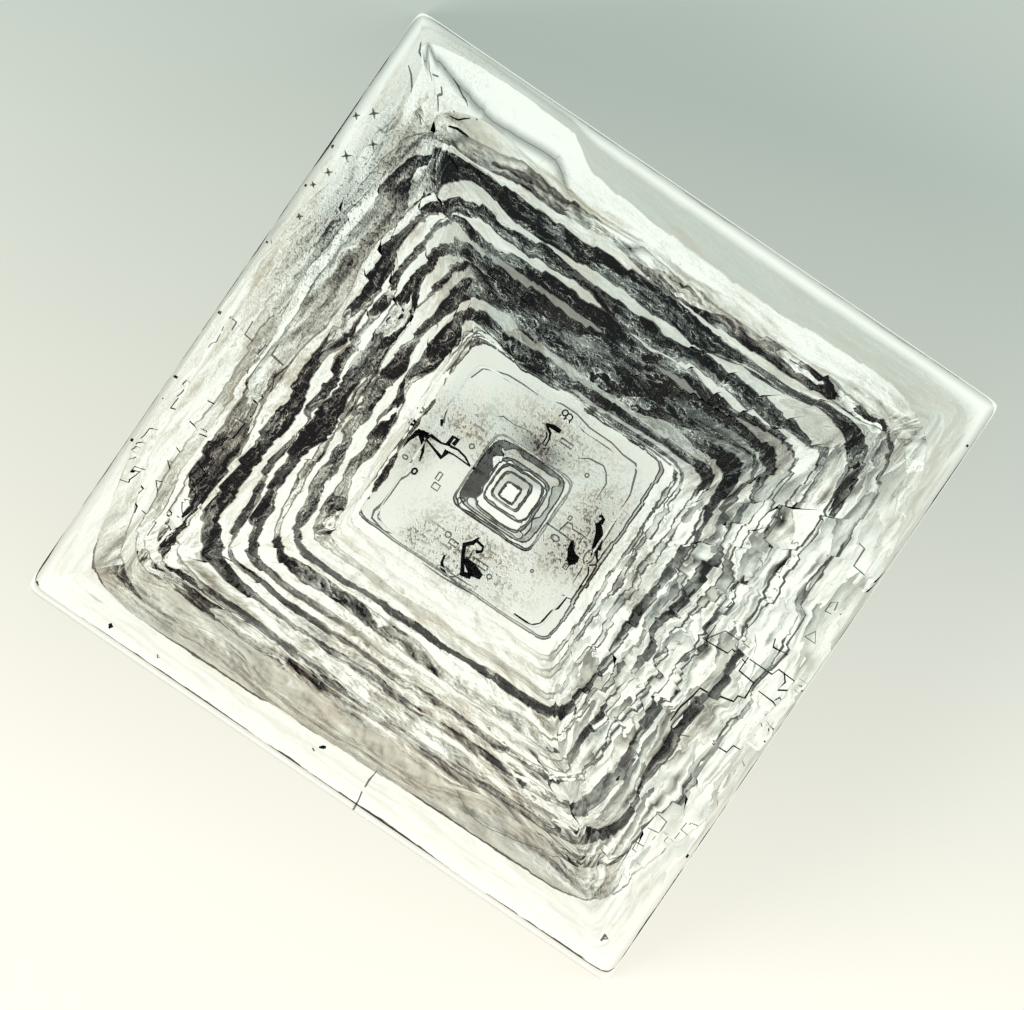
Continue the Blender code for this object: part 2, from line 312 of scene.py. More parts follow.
@dataclass
class HopperCrystal:
    """The whole crystal as one closed surface, lofted through squarish outlines.

    The outlines run from the underside up the outer sides, over the rim and down the pit. Each has
    the same number of points, so that point j of one outline joins point j of the next.
    """

    width: float                     # across the underside, mm
    height: float                    # underside to rim, mm
    pit: tuple[Ledge, ...] = PIT
    patches: tuple[Patch, ...] = PATCHES
    points_per_side: int = 244
    crisp_angle: float = 12.0        # faces that meet at less than this are smooth together, degrees
    seed: int = 7

    foot_chamfer: float = 0.004
    foot_parts: tuple[float, ...] = (0.02, 0.1, 0.25, 0.5, 0.75, 1.0)   # outlines on the underside
    bands: tuple[float, ...] = (0.55,)              # heights of the growth bands on the outer sides
    band_step: float = 0.008         # how far each band steps in
    band_rise: float = 0.02
    outer_squareness: float = 90.0
    outer_edge: float = -0.05        # stands for the distance to an edge on the outer sides

    rim_reach: Four = (1.606, 1.603, 1.569, 1.600)
    rim_squareness: float = 60.0
    rim_border: tuple[float, ...] = (0.18, 0.38, 0.70)   # outlines on the rim, as shares of its width;
    # its shade sets in between the first two
    rim_shade: Four = (0.06, 0.12, 0.06, 0.28)      # painted shade on the rim inside its bright border
    rim_shade_line: Four = (0.50, 0.60, 0.70, 0.0)        # how dark the painted shade line along the rim's edge is
    rim_crease: Four = (0.15, 0.25, 0.10, 0.06)

    tread_part: float = 0.05         # widest stretch of a tread without an outline of its own
    cap_part: float = 0.5            # size of the innermost outline against the last wall's foot
    least_step: float = 0.004        # no outline comes nearer than this to the one outside it
    side_wave: Four = (1.0, 0.8, 0.6, 1.0)          # share of the long waves on each side
    side_teeth: Four = (1.0, 0.9, 0.35, 0.9)        # share of the saw teeth
    side_blocks: Four = (0.6, 2.1, 0.15, 0.2)       # share of the square battlements
    waves: tuple[Waver, ...] = (Waver(0.6, 5, 1, pace=0.5), Waver(1.1, 9, 2), Waver(0.20, 30, 3, pace=2.0))
    teeth: tuple[Waver, ...] = (Waver(0.55, 6, 4), Waver(0.18, 15, 5))
    blocks: tuple[Waver, ...] = (Waver(0.9, 9, 6), Waver(0.4, 17, 7))
    teeth_push: float = 1.6          # how far a ripple pushes the teeth to and fro, in teeth
    teeth_per_ripple: float = 2.5
    block_push: float = 0.8
    blocks_per_ripple: float = 3.0
    block_levels: float = 1.5        # levels of the battlements above the middle
    wall_waver: Waver = Waver(0.5, 8, 8)            # how the walls' widths vary
    foot_follow: float = 0.5         # share of the upper edge's shape that a wall's foot keeps
    foot_pace: float = 0.4           # its own shape is taken this far towards the next ledge

    spill_span: tuple[float, float] = (-1.70, -0.72)   # stretch of the back where the pit spills out
    spill_soft: float = 0.26
    spill_reach: float = 0.110
    tail_end: float = -0.40          # beyond its end the spill trails off to here
    tail_soft: float = 0.55
    tail_reach: float = 0.045

    half_turn: float = 1.3           # length that half a side counts for along the ledges
    plate_reach: float = 0.52        # within this the patterns along the ledges are weaker
    plate_looks: float = 0.12
    # painted light and shade patterns on each side; warm is painted warm light, strong on -X and -Y
    side_looks: tuple[Looks, ...] = (
        Looks(satin=0.55, facet=0.25, crumple=0.75, warm=0.70),
        Looks(satin=0.25, facet=1.0, crumple=0.10, warm=0.05),
        Looks(satin=1.0, facet=0.15, crumple=0.20, warm=0.60),
        Looks(satin=0.45, facet=0.10, crumple=0.90, warm=0.05),
    )
    across: np.ndarray = field(init=False, repr=False)
    up: np.ndarray = field(init=False, repr=False)
    share: np.ndarray = field(init=False, repr=False)

    def __post_init__(self) -> None:
        """Lays the outlines' points evenly round the square from -1 to 1, and gives each its share of
        the four sides, by a power of how near it is to them."""
        n = self.points_per_side
        along, one = np.arange(n) / n * 2.0 - 1.0, np.ones(n)
        self.across = np.concatenate([along, one, -along, -one])
        self.up = np.concatenate([-one, along, one, -along])
        sides = np.clip([-self.across, self.across, -self.up, self.up], 0.0, 1.0) ** SIDE_PULL
        self.share = sides / sides.sum(axis=0)

    def by_side(self, values: Four) -> np.ndarray:
        """Each point's mean of four side values, weighted by its share of the sides."""
        return np.tensordot(np.asarray(values, float), self.share, axes=1)

    def random_heights(self, count: int, *key: int) -> np.ndarray:
        """Random heights from -1 to 1, always the same for the same key."""
        return np.random.default_rng([self.seed, *key]).uniform(-1.0, 1.0, count)

    def ripple(self, cycles: float, place: float, salt: int) -> np.ndarray:
        """Smooth random height round an outline, from -1 to 1.

        Value noise: random heights stand at equal steps round the square and at whole places in the
        pit, and every point takes the smoothstep blend of the four round it.

        Args:
            cycles: random heights along one side.
            place: place in the pit, counted in ledges.
            salt: picks another set of heights.

        Returns:
            One height for each point of an outline.
        """
        count = int(round(4 * cycles))
        turn = np.arange(4 * self.points_per_side) / (4 * self.points_per_side) * count
        low, part = np.floor(turn).astype(int), smooth(turn % 1.0)
        level = math.floor(place)
        rows = [self.random_heights(count, salt, level + step + RIPPLE_KEY) for step in (0, 1)]
        above, below = (row[low % count] * (1 - part) + row[(low + 1) % count] * part for row in rows)
        return above + (below - above) * (place - level)

    def saw_teeth(self, cycles: float, place: float, salt: int) -> np.ndarray:
        """Saw teeth of uneven length round an outline, from -1 to 1.

        The turn, pushed to and fro by a ripple, is taken modulo one tooth, so each tooth rises
        slowly and drops at once.

        Args:
            cycles: teeth along one side.
            place: place in the pit, counted in ledges.
            salt: picks another set of lengths.

        Returns:
            One height for each point of an outline.
        """
        turn = np.arange(4 * self.points_per_side) / self.points_per_side * cycles
        pushed = turn + self.teeth_push * self.ripple(cycles / self.teeth_per_ripple, place, salt)
        return 2.0 * (pushed % 1.0) - 1.0

    def battlements(self, cycles: float, place: float, salt: int) -> np.ndarray:
        """Square battlements from -1 to 1: random heights, rounded to a few levels and held flat over
        steps of uneven length.

        Args:
            cycles: steps along one side.
            place: place in the pit, counted in ledges.
            salt: picks another set of heights.

        Returns:
            One height for each point of an outline.
        """
        turn = np.arange(4 * self.points_per_side) / self.points_per_side * cycles
        pushed = turn + self.block_push * self.ripple(cycles / self.blocks_per_ripple, place, salt)
        count = int(round(4 * cycles)) + SPARE_BLOCKS
        heights = self.random_heights(count, salt, int(place * 4) + BLOCK_KEY)
        held = heights[np.floor(pushed).astype(int) % count]
        return np.round(held * self.block_levels) / self.block_levels

    def edge_shape(self, depth: float, place: float) -> np.ndarray:
        """How far a wall's edge stands out of its straight line: the sum of long waves, saw teeth and
        battlements, each with its own share on each side.

        Args:
            depth: the ledge's raggedness in mm.
            place: place in the pit, counted in ledges.

        Returns:
            One distance in mm for each point of an outline.
        """
        out = np.zeros(4 * self.points_per_side)
        for kind, wavers, sides in (
            (self.ripple, self.waves, self.side_wave),
            (self.saw_teeth, self.teeth, self.side_teeth),
            (self.battlements, self.blocks, self.side_blocks),
        ):
            heights = sum(each.weight * kind(each.cycles, place * each.pace, each.salt) for each in wavers)
            out += self.by_side(sides) * heights
        return depth * out

    def outline(self, reach: np.ndarray, squareness: float, swell: Four = NONE, lean: Four = NONE,
                offset: np.ndarray | float = 0.0) -> np.ndarray:
        """A rounded square through four reaches.

        A point of the unit square is drawn in along its ray to |x|^n + |y|^n = 1, then stretched to
        the reach of its side. It is moved out by the swell, which fades from mid-side to the corner
        with the square of the distance, by the lean times its place along the side, and by the
        offset.

        Args:
            reach: distances from the middle towards -X, +X, -Y and +Y, mm.
            squareness: the power n.
            swell: extra reach at mid-side, mm.
            lean: extra reach at the side's +X or +Y end, taken off at its other end, mm.
            offset: extra reach at every point, mm.

        Returns:
            An array of x and y in mm, one row for each point.
        """
        x0, y0 = np.abs(self.across), np.abs(self.up)
        inward = (x0 ** squareness + y0 ** squareness) ** (-1.0 / squareness)
        left, right, front, back = reach
        shorter = np.where(x0 > y0, self.up, self.across)
        out = self.by_side(swell) * (1.0 - shorter ** 2) + self.by_side(lean) * shorter + offset
        x = self.across * inward * np.where(self.across < 0.0, left, right)
        y = self.up * inward * np.where(self.up < 0.0, front, back)
        x += np.sign(self.across) * out * x0 ** SIDE_PULL
        y += np.sign(self.up) * out * y0 ** SIDE_PULL
        return np.column_stack([x, y])

    def outer_rings(self) -> list[Ring]:
        """Outlines up the outer sides, from the underside to the rim.

        The sides lean in evenly from the foot to the rim, but for a small step at each growth band.

        Returns:
            Outlines in mm with their heights.
        """
        foot = np.full(4, self.width / 2.0)
        rim = np.array(self.rim_reach)
        square = self.outer_squareness
        rings = [(self.outline((foot - self.foot_chamfer) * part, square), 0.0) for part in self.foot_parts]
        rings.append((self.outline(foot, square), self.foot_chamfer))
        for band, height in enumerate(self.bands):
            for step, z in ((band, height), (band + 1, height + self.band_rise)):
                part = z / self.height
                shift = self.band_step * (step - len(self.bands) * part)
                reach = foot + (rim - foot) * part - shift
                rings.append((self.outline(reach, square), z))
        rings.append((self.outline(rim, self.rim_squareness), self.height))
        return rings

    def spill(self) -> np.ndarray:
        """Where the pit's edge spills out towards the back left corner: the spill's reach between the
        two ends of its span, and a lower tail past its end, with smooth steps.

        Returns:
            Extra reach in mm for each point of an outline.
        """
        x = self.across * self.width / 2.0
        on_back = np.clip(self.up, 0.0, 1.0) ** BACK_PULL

        def step(at: float, soft: float) -> np.ndarray:
            """Smoothstep from 0 to 1 round a place along the back."""
            return smooth(np.clip((x - at) / soft + 0.5, 0.0, 1.0))

        start, end = self.spill_span
        rise = step(start, self.spill_soft)
        body = self.spill_reach * (rise - step(end, self.spill_soft))
        tail = self.tail_reach * (rise - step(self.tail_end, self.tail_soft))
        return on_back * (body + tail)

    def pit_rings(self) -> list[Ring]:
        """Outlines down the pit, two for each ledge: its wall's upper edge and its foot. The foot has
        partly a shape of its own, so the wall's width varies.

        Returns:
            Outlines in mm with their heights.
        """
        rings, height = [], self.height
        waver, follow = self.wall_waver, self.foot_follow
        for place, ledge in enumerate(self.pit):
            shape = (np.array(ledge.reach), ledge.squareness, ledge.swell, ledge.lean)
            top = self.edge_shape(ledge.ragged, place)
            own = self.edge_shape(ledge.ragged, place + self.foot_pace)
            width = 1.0 + waver.weight * self.ripple(waver.cycles, place, waver.salt)
            foot = follow * top + (1.0 - follow) * own - self.by_side(ledge.run) * width
            if place == 0:
                top = top + self.spill()
            rings.append((self.outline(*shape, top), height))
            height -= ledge.drop
            rings.append((self.outline(*shape, foot), height))
        return rings

    def nested(self, rings: list[Ring]) -> list[Ring]:
        """The outlines, each kept inside the one before it.

        Neither |x| nor |y| may pass that of the outline outside less the least step, which fades
        with a power of the point's place on the unit square.

        Args:
            rings: outlines and heights, from the outermost on.

        Returns:
            The same number of outlines with the same heights.
        """
        kept, limit = [rings[0]], np.abs(rings[0][0])
        share = np.column_stack([np.abs(self.across), np.abs(self.up)]) ** STEP_PULL
        for points, height in rings[1:]:
            span = np.minimum(np.abs(points), limit - self.least_step * share)
            kept.append((np.sign(points) * span, height))
            limit = span
        return kept

    def looks(self, points: np.ndarray, relief: np.ndarray) -> np.ndarray:
        """The looks at every point, and the patches' painted shade put into the relief. Each patch fades
        as exp(-(dx/a)^2 - (dy/b)^2).

        Args:
            points: the surface's points in mm, (rings, points, 3).
            relief: the surface's relief, which is changed.

        Returns:
            An array (rings, points, 5).
        """
        rows = np.array([look.row() for look in self.side_looks])
        held = np.broadcast_to(self.share.T @ rows, (*points.shape[:2], rows.shape[1])).copy()
        inside = np.abs(points[..., :2]).max(axis=2) < self.plate_reach
        held[inside] *= self.plate_looks
        for patch in self.patches:
            away = (points[..., :2] - patch.place) / patch.half
            part = np.exp(-(away ** 2).sum(axis=2))
            held += part[..., None] * np.array(patch.looks.row())
            relief[..., 1] += part * patch.wall
            relief[..., 2] += part * patch.tread
        return held

    def wall_falls(self, ledge: Ledge) -> tuple[np.ndarray, np.ndarray]:
        """How far in from the crystal's side a ledge's wall would start and end without its waves.

        Args:
            ledge: the ledge.

        Returns:
            Two distances in mm for each point of an outline.
        """
        shape = (np.array(ledge.reach), ledge.squareness, ledge.swell, ledge.lean)
        top, foot = (
            self.width / 2.0 - np.abs(self.outline(*shape, shift)).max(axis=1)
            for shift in (0.0, -self.by_side(ledge.run)))
        return top, foot

    def surface(self) -> Loft:
        """The whole surface, from the middle of the underside to the middle of the plate. Half-way
        outlines are put into every wall, and wide treads are parted evenly.

        Returns:
            The outlines with their values.
        """
        loft, outer = Loft(), self.outer_rings()
        pit = self.nested([outer[-1], *self.pit_rings()])[1:]
        none = np.zeros(4 * self.points_per_side)
        for flat, height in outer:
            loft.add(flat, height, self.outer_edge, (none, none, none), none + (height - self.height))
        # the rim's edge gets a painted shade line
        loft.relief[-1][:, 0], loft.relief[-1][:, 1] = 0.0, self.by_side(self.rim_shade_line)
        last, last_fall = outer[-1][0], loft.falls[-1]
        tread, crease = self.by_side(self.rim_shade), self.by_side(self.rim_crease)
        for place, ledge in enumerate(self.pit):
            (top, high), (foot, low) = pit[2 * place], pit[2 * place + 1]
            wall, (top_fall, foot_fall) = self.by_side(ledge.wall), self.wall_falls(ledge)
            gap = np.linalg.norm(top - last, axis=1)
            parts = max(2, round(float(np.median(gap)) / self.tread_part))
            steps = np.arange(1, parts) / parts if place else self.rim_border
            for part in steps:
                # the rim's first outline has no painted shade on its tread: its bright border
                bright = place == 0 and part == steps[0]
                loft.add(last + (top - last) * part, high, -gap * min(part, 1.0 - part),
                         (wall, none, none) if bright else (wall, tread, crease),
                         last_fall + (top_fall - last_fall) * part)
            loft.add(top, high, 0.0, (wall, tread, crease), top_fall)
            tread, crease = self.by_side(ledge.tread), self.by_side(ledge.crease)
            half_width = np.linalg.norm(top - foot, axis=1) / 2
            shades = (wall, tread, crease)
            loft.add((top + foot) / 2, (high + low) / 2, half_width, shades, (top_fall + foot_fall) / 2)
            loft.add(foot, low, 0.0, shades, foot_fall)
            last, last_fall = foot, foot_fall
        inner = -np.linalg.norm(last, axis=1) * (1.0 - self.cap_part)
        loft.add(last * self.cap_part, low, inner, shades, last_fall)
        return loft

    def skins(self, faces: int) -> np.ndarray:
        """Which material each face has: the underside and the outer sides are plain, the chamfer
        along the foot carries a painted shade line, and the rim and the pit have the painted pattern.

        Args:
            faces: how many faces the mesh has, the last two being its caps.

        Returns:
            The materials' places, one for each face.
        """
        count, feet = 4 * self.points_per_side, len(self.foot_parts)
        skins = np.full(faces, Skin.PIT.value, np.int32)
        skins[:(len(self.outer_rings()) - 2) * count] = Skin.SIDE.value
        skins[(feet - 1) * count:feet * count] = Skin.FOOT_EDGE.value
        skins[faces - 2] = Skin.SIDE.value
        return skins

    def mesh(self) -> bpy.types.Mesh:
        """The closed mesh: four-sided faces between neighbouring outlines and a flat cap at each
        end. Face (i, j) joins points j and j + 1 of outline i to the same two of outline i + 1.

        The flow, kept on the faces' corners so that it doesn't close up where an outline ends, holds
        the way along the side and the fall, both in mm, and the warmth of the painted light.

        Returns:
            The mesh, in metres, with its attributes and its materials' places.
        """
        loft = self.surface()
        points, relief = np.array(loft.points), np.array(loft.relief)
        looks = self.looks(points, relief)
        rings, count, _ = points.shape
        grid = np.arange(rings * count).reshape(rings, count)
        flow = np.zeros((rings, count + 1, 3))
        flow[..., 0] = np.arange(count + 1) / self.points_per_side * 2.0 * self.half_turn
        flow[..., 1], flow[..., 2] = closed(np.array(loft.falls)), closed(looks[..., 4])
        quads = face_corners(closed(grid)).reshape(-1, 4)
        faces = quads.tolist() + [grid[0, ::-1].tolist(), grid[-1].tolist()]
        flows = np.concatenate([
            face_corners(flow).reshape(-1, 3), flow[0, count - 1::-1], flow[-1, :count]])
        mesh = bpy.data.meshes.new("hopper")
        mesh.from_pydata((points.reshape(-1, 3) * MM).tolist(), [], faces)
        for name, kind, domain, key, values in (
            ("relief", "FLOAT_COLOR", "POINT", "color", relief),
            ("looks", "FLOAT_COLOR", "POINT", "color", looks[..., :4]),
            ("flow", "FLOAT_VECTOR", "CORNER", "vector", flows),
        ):
            held = mesh.attributes.new(name, kind, domain)
            held.data.foreach_set(key, values.reshape(-1).astype(np.float32))
        mesh.polygons.foreach_set("material_index", self.skins(len(faces)))
        mesh.polygons.foreach_set("use_smooth", np.ones(len(faces), bool))
        mesh.update()
        mesh.set_sharp_from_angle(angle=math.radians(self.crisp_angle))
        return mesh

    def build(self, finish: "HaliteFinish") -> bpy.types.Object:
        """Makes the crystal, dresses it and lets it stand for its solid.

        Args:
            finish: gives the materials, in the order of Skin.

        Returns:
            The crystal.
        """
        crystal = bpy.data.objects.new("hopper_crystal", self.mesh())
        bpy.context.scene.collection.objects.link(crystal)
        # the foot edge material is a painted shade line along the underside's edge
        for made in (finish.pit(), finish.plain("halite side", finish.clear),
                     finish.plain("halite foot edge", finish.edge)):
            crystal.data.materials.append(made)
        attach(crystal, "root")
        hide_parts(NODE)
        LOG.info("%s: %d faces", crystal.name, len(crystal.data.polygons))
        return crystal


# --------------------------------------------------------------------------- marks in the crystal


@dataclass(frozen=True)
class Stroke:
    """One drawn-out mark: points (x, y, width) in micrometres."""

    ink: Ink
    points: tuple[Point, ...]


def dark(*points: Point) -> Stroke:
    """A dark stroke."""
    return Stroke(Ink.DARK, points)


def grey(*points: Point) -> Stroke:
    """A grey stroke."""
    return Stroke(Ink.GREY, points)


def ring(ink: Ink, x: float, y: float, half_width: float, half_height: float, line: float = 5) -> Stroke:
    """A small eight-sided bubble, with points at every 45 degrees of an oval.

    Args:
        ink: its colour.
        x: its middle.
        y: its middle.
        half_width: half the oval's width.
        half_height: half the oval's height.
        line: width of the stroke.

    Returns:
        The closed stroke.
    """
    turns = np.linspace(0.0, 2.0 * math.pi, 9)
    return Stroke(ink, tuple(
        (x + half_width * math.cos(turn), y - half_height * math.sin(turn), line) for turn in turns))


def box(x0: float, y0: float, x1: float, y1: float, line: float = 5) -> Stroke:
    """A small square cavity in grey, drawn round from its first corner."""
    return grey((x0, y0, line), (x1, y0, line), (x1, y1, line), (x0, y1, line), (x0, y0, line))


def cross(x: float, y: float, half_width: float, half_height: float) -> tuple[Stroke, Stroke]:
    """A small star-shaped nick of two crossing strokes with thin ends, not quite even, and kept off
    the crystal's left side.

    Args:
        x: its middle.
        y: its middle.
        half_width: its longest reach to the right.
        half_height: its longest reach down.

    Returns:
        The two strokes.
    """
    left = RIM_LEFT - x
    upper = max(left, -0.95 * half_width), 0.80 * half_height
    lower = max(left, -0.78 * half_width), -0.90 * half_height
    ends = ((upper, (0.90 * half_width, -half_height)), (lower, (half_width, 0.70 * half_height)))
    first, second = (
        grey((x + a, y + b, NICK_END), (x, y, NICK_MIDDLE), (x + c, y + d, NICK_END))
        for (a, b), (c, d) in ends)
    return first, second


PLATE_MARKS: tuple[Stroke, ...] = (
    # the winged inclusion on the left
    dark((-552, -102, 5), (-545, -51, 9), (-533, -5, 19), (-508, 9, 21), (-473, 5, 9)),
    dark((-517, 0, 16), (-484, -28, 14), (-461, -63, 9), (-449, -107, 5)),
    dark((-538, 5, 12), (-473, 21, 12), (-414, 19, 7), (-372, 33, 7)),
    dark((-484, -5, 7), (-438, -19, 7), (-377, -37, 14), (-370, 5, 19)),
    dark((-386, 28, 14), (-384, 74, 12), (-359, 77, 14), (-363, 42, 14)),
    dark((-372, 30, 9), (-331, 37, 7), (-286, 28, 7), (-242, 5, 5)),
    dark((-372, 2, 7), (-331, 7, 5), (-242, 5, 5)),
    dark((-473, 112, 12), (-456, 84, 7)),
    # the hook at the back
    dark((-65, 363, 9), (-28, 372, 16), (12, 372, 14)),
    dark((-56, 359, 7), (-23, 340, 9), (-12, 312, 5), (-9, 279, 5), (-26, 279, 5), (-28, 317, 5),
         (-40, 335, 5)),
    # the branched one in front
    dark((-23, -242, 5), (-33, -279, 14), (-61, -307, 16), (-42, -347, 12), (-16, -389, 14)),
    dark((-23, -261, 9), (16, -268, 9), (23, -289, 9), (0, -307, 12)),
    dark((-23, -359, 14), (9, -372, 28), (42, -386, 37), (88, -389, 19)),
    dark((-16, -389, 12), (5, -424, 19), (47, -412, 19)),
    dark((-109, -398, 7), (-102, -433, 9), (-79, -461, 14), (-47, -475, 7)),
    grey((-47, -475, 5), (-14, -456, 5), (0, -419, 5)),
    grey((-14, -307, 5), (-7, -345, 7), (-23, -354, 5)),
    grey((-112, -456, 5), (-74, -442, 5), (-37, -447, 5)),
    # the long one on the right, with its bubble and its cracks
    dark((379, 149, 9), (389, 158, 9), (403, 149, 12), (403, 126, 16)),
    dark((391, 123, 19), (419, 93, 23), (438, 56, 28), (454, 14, 30)),
    dark((456, 14, 12), (477, -14, 7), (501, -37, 7), (466, -63, 5)),
    dark((340, -9, 9), (354, -47, 19), (382, -79, 35), (414, -70, 19)),
    dark((365, -88, 9), (389, -107, 14), (410, -88, 9)),
    ring(Ink.GREY, 445, -30.5, 21, 37.5),
    grey((196, -12, 5), (261, -12, 5), (359, -16, 5), (372, -56, 7)),
    grey((263, -7, 5), (275, 47, 7), (300, 49, 5), (310, 33, 5), (372, 35, 5), (372, -9, 5)),
    ring(Ink.GREY, 268, -47, 21, 14),
    # faint outlines along the plate's edges
    grey((-470, 345, 5), (-461, 372, 5), (-447, 412, 5), (-403, 431, 5), (-335, 452, 5), (-251, 456, 5),
         (-168, 454, 2)),
    grey((-84, 473, 2), (-51, 482, 5), (28, 482, 5), (112, 463, 5), (237, 463, 5), (307, 447, 5),
         (382, 445, 7), (405, 414, 7), (424, 359, 7), (440, 317, 5)),
    grey((440, 317, 5), (447, 228, 5), (459, 112, 5), (461, 42, 2)),
    grey((149, 317, 2), (191, 345, 5), (265, 354, 5), (291, 335, 5), (321, 293, 5), (324, 205, 2)),
    grey((-265, 270, 2), (-247, 282, 5), (-186, 279, 2), (-112, 293, 2)),
    grey((-482, 228, 5), (-484, 182, 5), (-470, 130, 5), (-454, 102, 5)),
    grey((-452, -163, 5), (-459, -196, 5), (-477, -228, 9), (-477, -307, 9), (-480, -363, 9),
         (-494, -412, 9), (-484, -447, 7), (-405, -466, 7), (-345, -447, 2)),
    dark((470, -70, 5), (487, -98, 5), (489, -168, 5), (496, -237, 5), (466, -244, 5), (461, -307, 7),
         (442, -335, 5), (433, -412, 7), (400, -442, 7), (307, -442, 5)),
    grey((-177, -487, 2), (-65, -489, 5), (28, -482, 7), (109, -473, 2)),
    grey((-219, -303, 2), (-135, -303, 2)),
    # bubbles and square cavities
    ring(Ink.DARK, -19, 456, 14, 14),
    ring(Ink.DARK, 7, 449.5, 16, 16.5),
    ring(Ink.GREY, -577.5, 93, 16.5, 12, 7),
    ring(Ink.DARK, -579.5, 23.5, 18.5, 11.5, 9),
    ring(Ink.GREY, -288.5, 86, 11.5, 12),
    ring(Ink.DARK, -442.5, -158, 11.5, 14, 7),
    box(-338, -147, -305, -175),
    box(-345, -95, -326, -133),
    box(33, 352, 98, 333),
    ring(Ink.GREY, 226, 274.5, 9, 9.5),
    box(265, 77, 279, 58),
    box(372, -116, 391, -140),
    ring(Ink.GREY, -149, -312, 14, 14),
    box(-128, -319, -86, -342),
    ring(Ink.GREY, -514.5, -128, 13.5, 9),
    ring(Ink.GREY, -195.5, -156, 11.5, 19),
    ring(Ink.GREY, 116.5, -365.5, 11.5, 11.5),
    ring(Ink.GREY, 265, -233, 7, 7),
    box(14, -331, 88, -354),
)

LEDGE_MARKS: tuple[Stroke, ...] = (
    # stepped cracks and cavities under the right ledges
    dark((1311, 1, 4), (1311, -74, 6), (1400, -83, 6), (1404, -164, 6), (1372, -173, 6), (1370, -206, 6),
         (1307, -221, 6), (1297, -235, 6), (1207, -242, 6), (1200, -292, 6), (1182, -364, 6),
         (1180, -444, 4)),
    dark((1320, -3, 3), (1445, -3, 5), (1458, 33, 5), (1570, 29, 3)),
    dark((1436, -101, 3), (1522, -105, 5), (1550, -117, 5), (1554, -81, 5), (1534, -71, 5),
         (1522, -96, 3)),
    dark((1397, -421, 3), (1475, -417, 5), (1483, -374, 5), (1534, -371, 3)),
    dark((1105, 40, 3), (1104, -46, 5), (1222, -38, 5), (1229, -10, 5), (1320, -28, 3)),
    grey((1248, -551, 3), (1254, -471, 5), (1293, -453, 3)),
    grey((1365, -828, 3), (1427, -837, 5), (1427, -900, 5), (1370, -909, 3)),
    grey((1422, -918, 3), (1418, -989, 5), (1365, -993, 5), (1368, -1029, 5), (1404, -1032, 5),
         (1400, -1096, 3)),
    dark((1365, 143, 4), (1379, 104, 6), (1454, 111, 4)),
    dark((1486, 36, 4), (1516, 1, 6), (1508, -48, 6), (1606, 15, 4)),
    grey((1436, 721, 4), (1472, 715, 6), (1475, 622, 6), (1543, 614, 6), (1570, 694, 6), (1570, 774, 6),
         (1525, 792, 4)),
    grey((1483, 422, 3), (1508, 444, 5), (1522, 381, 5), (1483, 376, 5), (1483, 422, 3)),
    grey((1472, 226, 3), (1500, 274, 5), (1529, 226, 5), (1472, 226, 3)),
    grey((1105, -66, 3), (1114, -21, 5), (1157, 42, 5), (1293, 40, 3)),
    # the same under the left ledges
    grey((-1573, -96, 4), (-1545, -92, 6), (-1538, -49, 6), (-1505, -53, 6), (-1502, -96, 4)),
    grey((-1445, -6, 4), (-1441, -78, 6), (-1355, -87, 4)),
    dark((-1591, -534, 3), (-1534, -534, 5), (-1523, -560, 3)),
    dark((-1427, -551, 4), (-1366, -560, 6), (-1366, -510, 6), (-1344, -503, 6), (-1344, -417, 6),
         (-1412, -426, 4)),
    dark((-1409, -685, 3), (-1355, -703, 5), (-1362, -750, 5), (-1409, -757, 5), (-1362, -796, 5),
         (-1352, -843, 5), (-1400, -864, 5), (-1359, -909, 3)),
    dark((-1495, -909, 4), (-1427, -928, 6), (-1434, -957, 6), (-1480, -946, 6), (-1462, -989, 6),
         (-1405, -1011, 6), (-1398, -1043, 4)),
    grey((-1377, -1014, 4), (-1291, -1025, 6), (-1291, -1096, 4)),
    grey((-1334, -78, 4), (-1355, -167, 6), (-1330, -221, 4)),
    # crazing in the back left corner
    grey((-1529, 1490, 4), (-1510, 1448, 7), (-1483, 1434, 7), (-1466, 1416, 4)),
    grey((-1518, 1370, 3), (-1483, 1342, 6), (-1441, 1289, 6), (-1391, 1176, 3)),
    grey((-1391, 1173, 4), (-1365, 1243, 7), (-1348, 1256, 4)),
    dark((-1342, 1300, 4), (-1307, 1279, 7), (-1282, 1272, 7), (-1300, 1254, 4)),
    grey((-1384, 1455, 7), (-1363, 1427, 10), (-1377, 1398, 10), (-1356, 1370, 10), (-1342, 1328, 7)),
    dark((-1229, 1284, 3), (-1187, 1291, 6), (-1169, 1310, 6), (-1145, 1329, 3)),
    dark((-1208, 1243, 6), (-1166, 1256, 9), (-1109, 1252, 9), (-1081, 1226, 6)),
    grey((-1261, 1413, 5), (-1215, 1383, 8), (-1159, 1374, 8), (-1113, 1339, 5)),
    grey((-1342, 1543, 3), (-1300, 1529, 6), (-1243, 1497, 6), (-1215, 1480, 3)),
    grey((-1469, 1458, 6), (-1416, 1490, 6)),
)

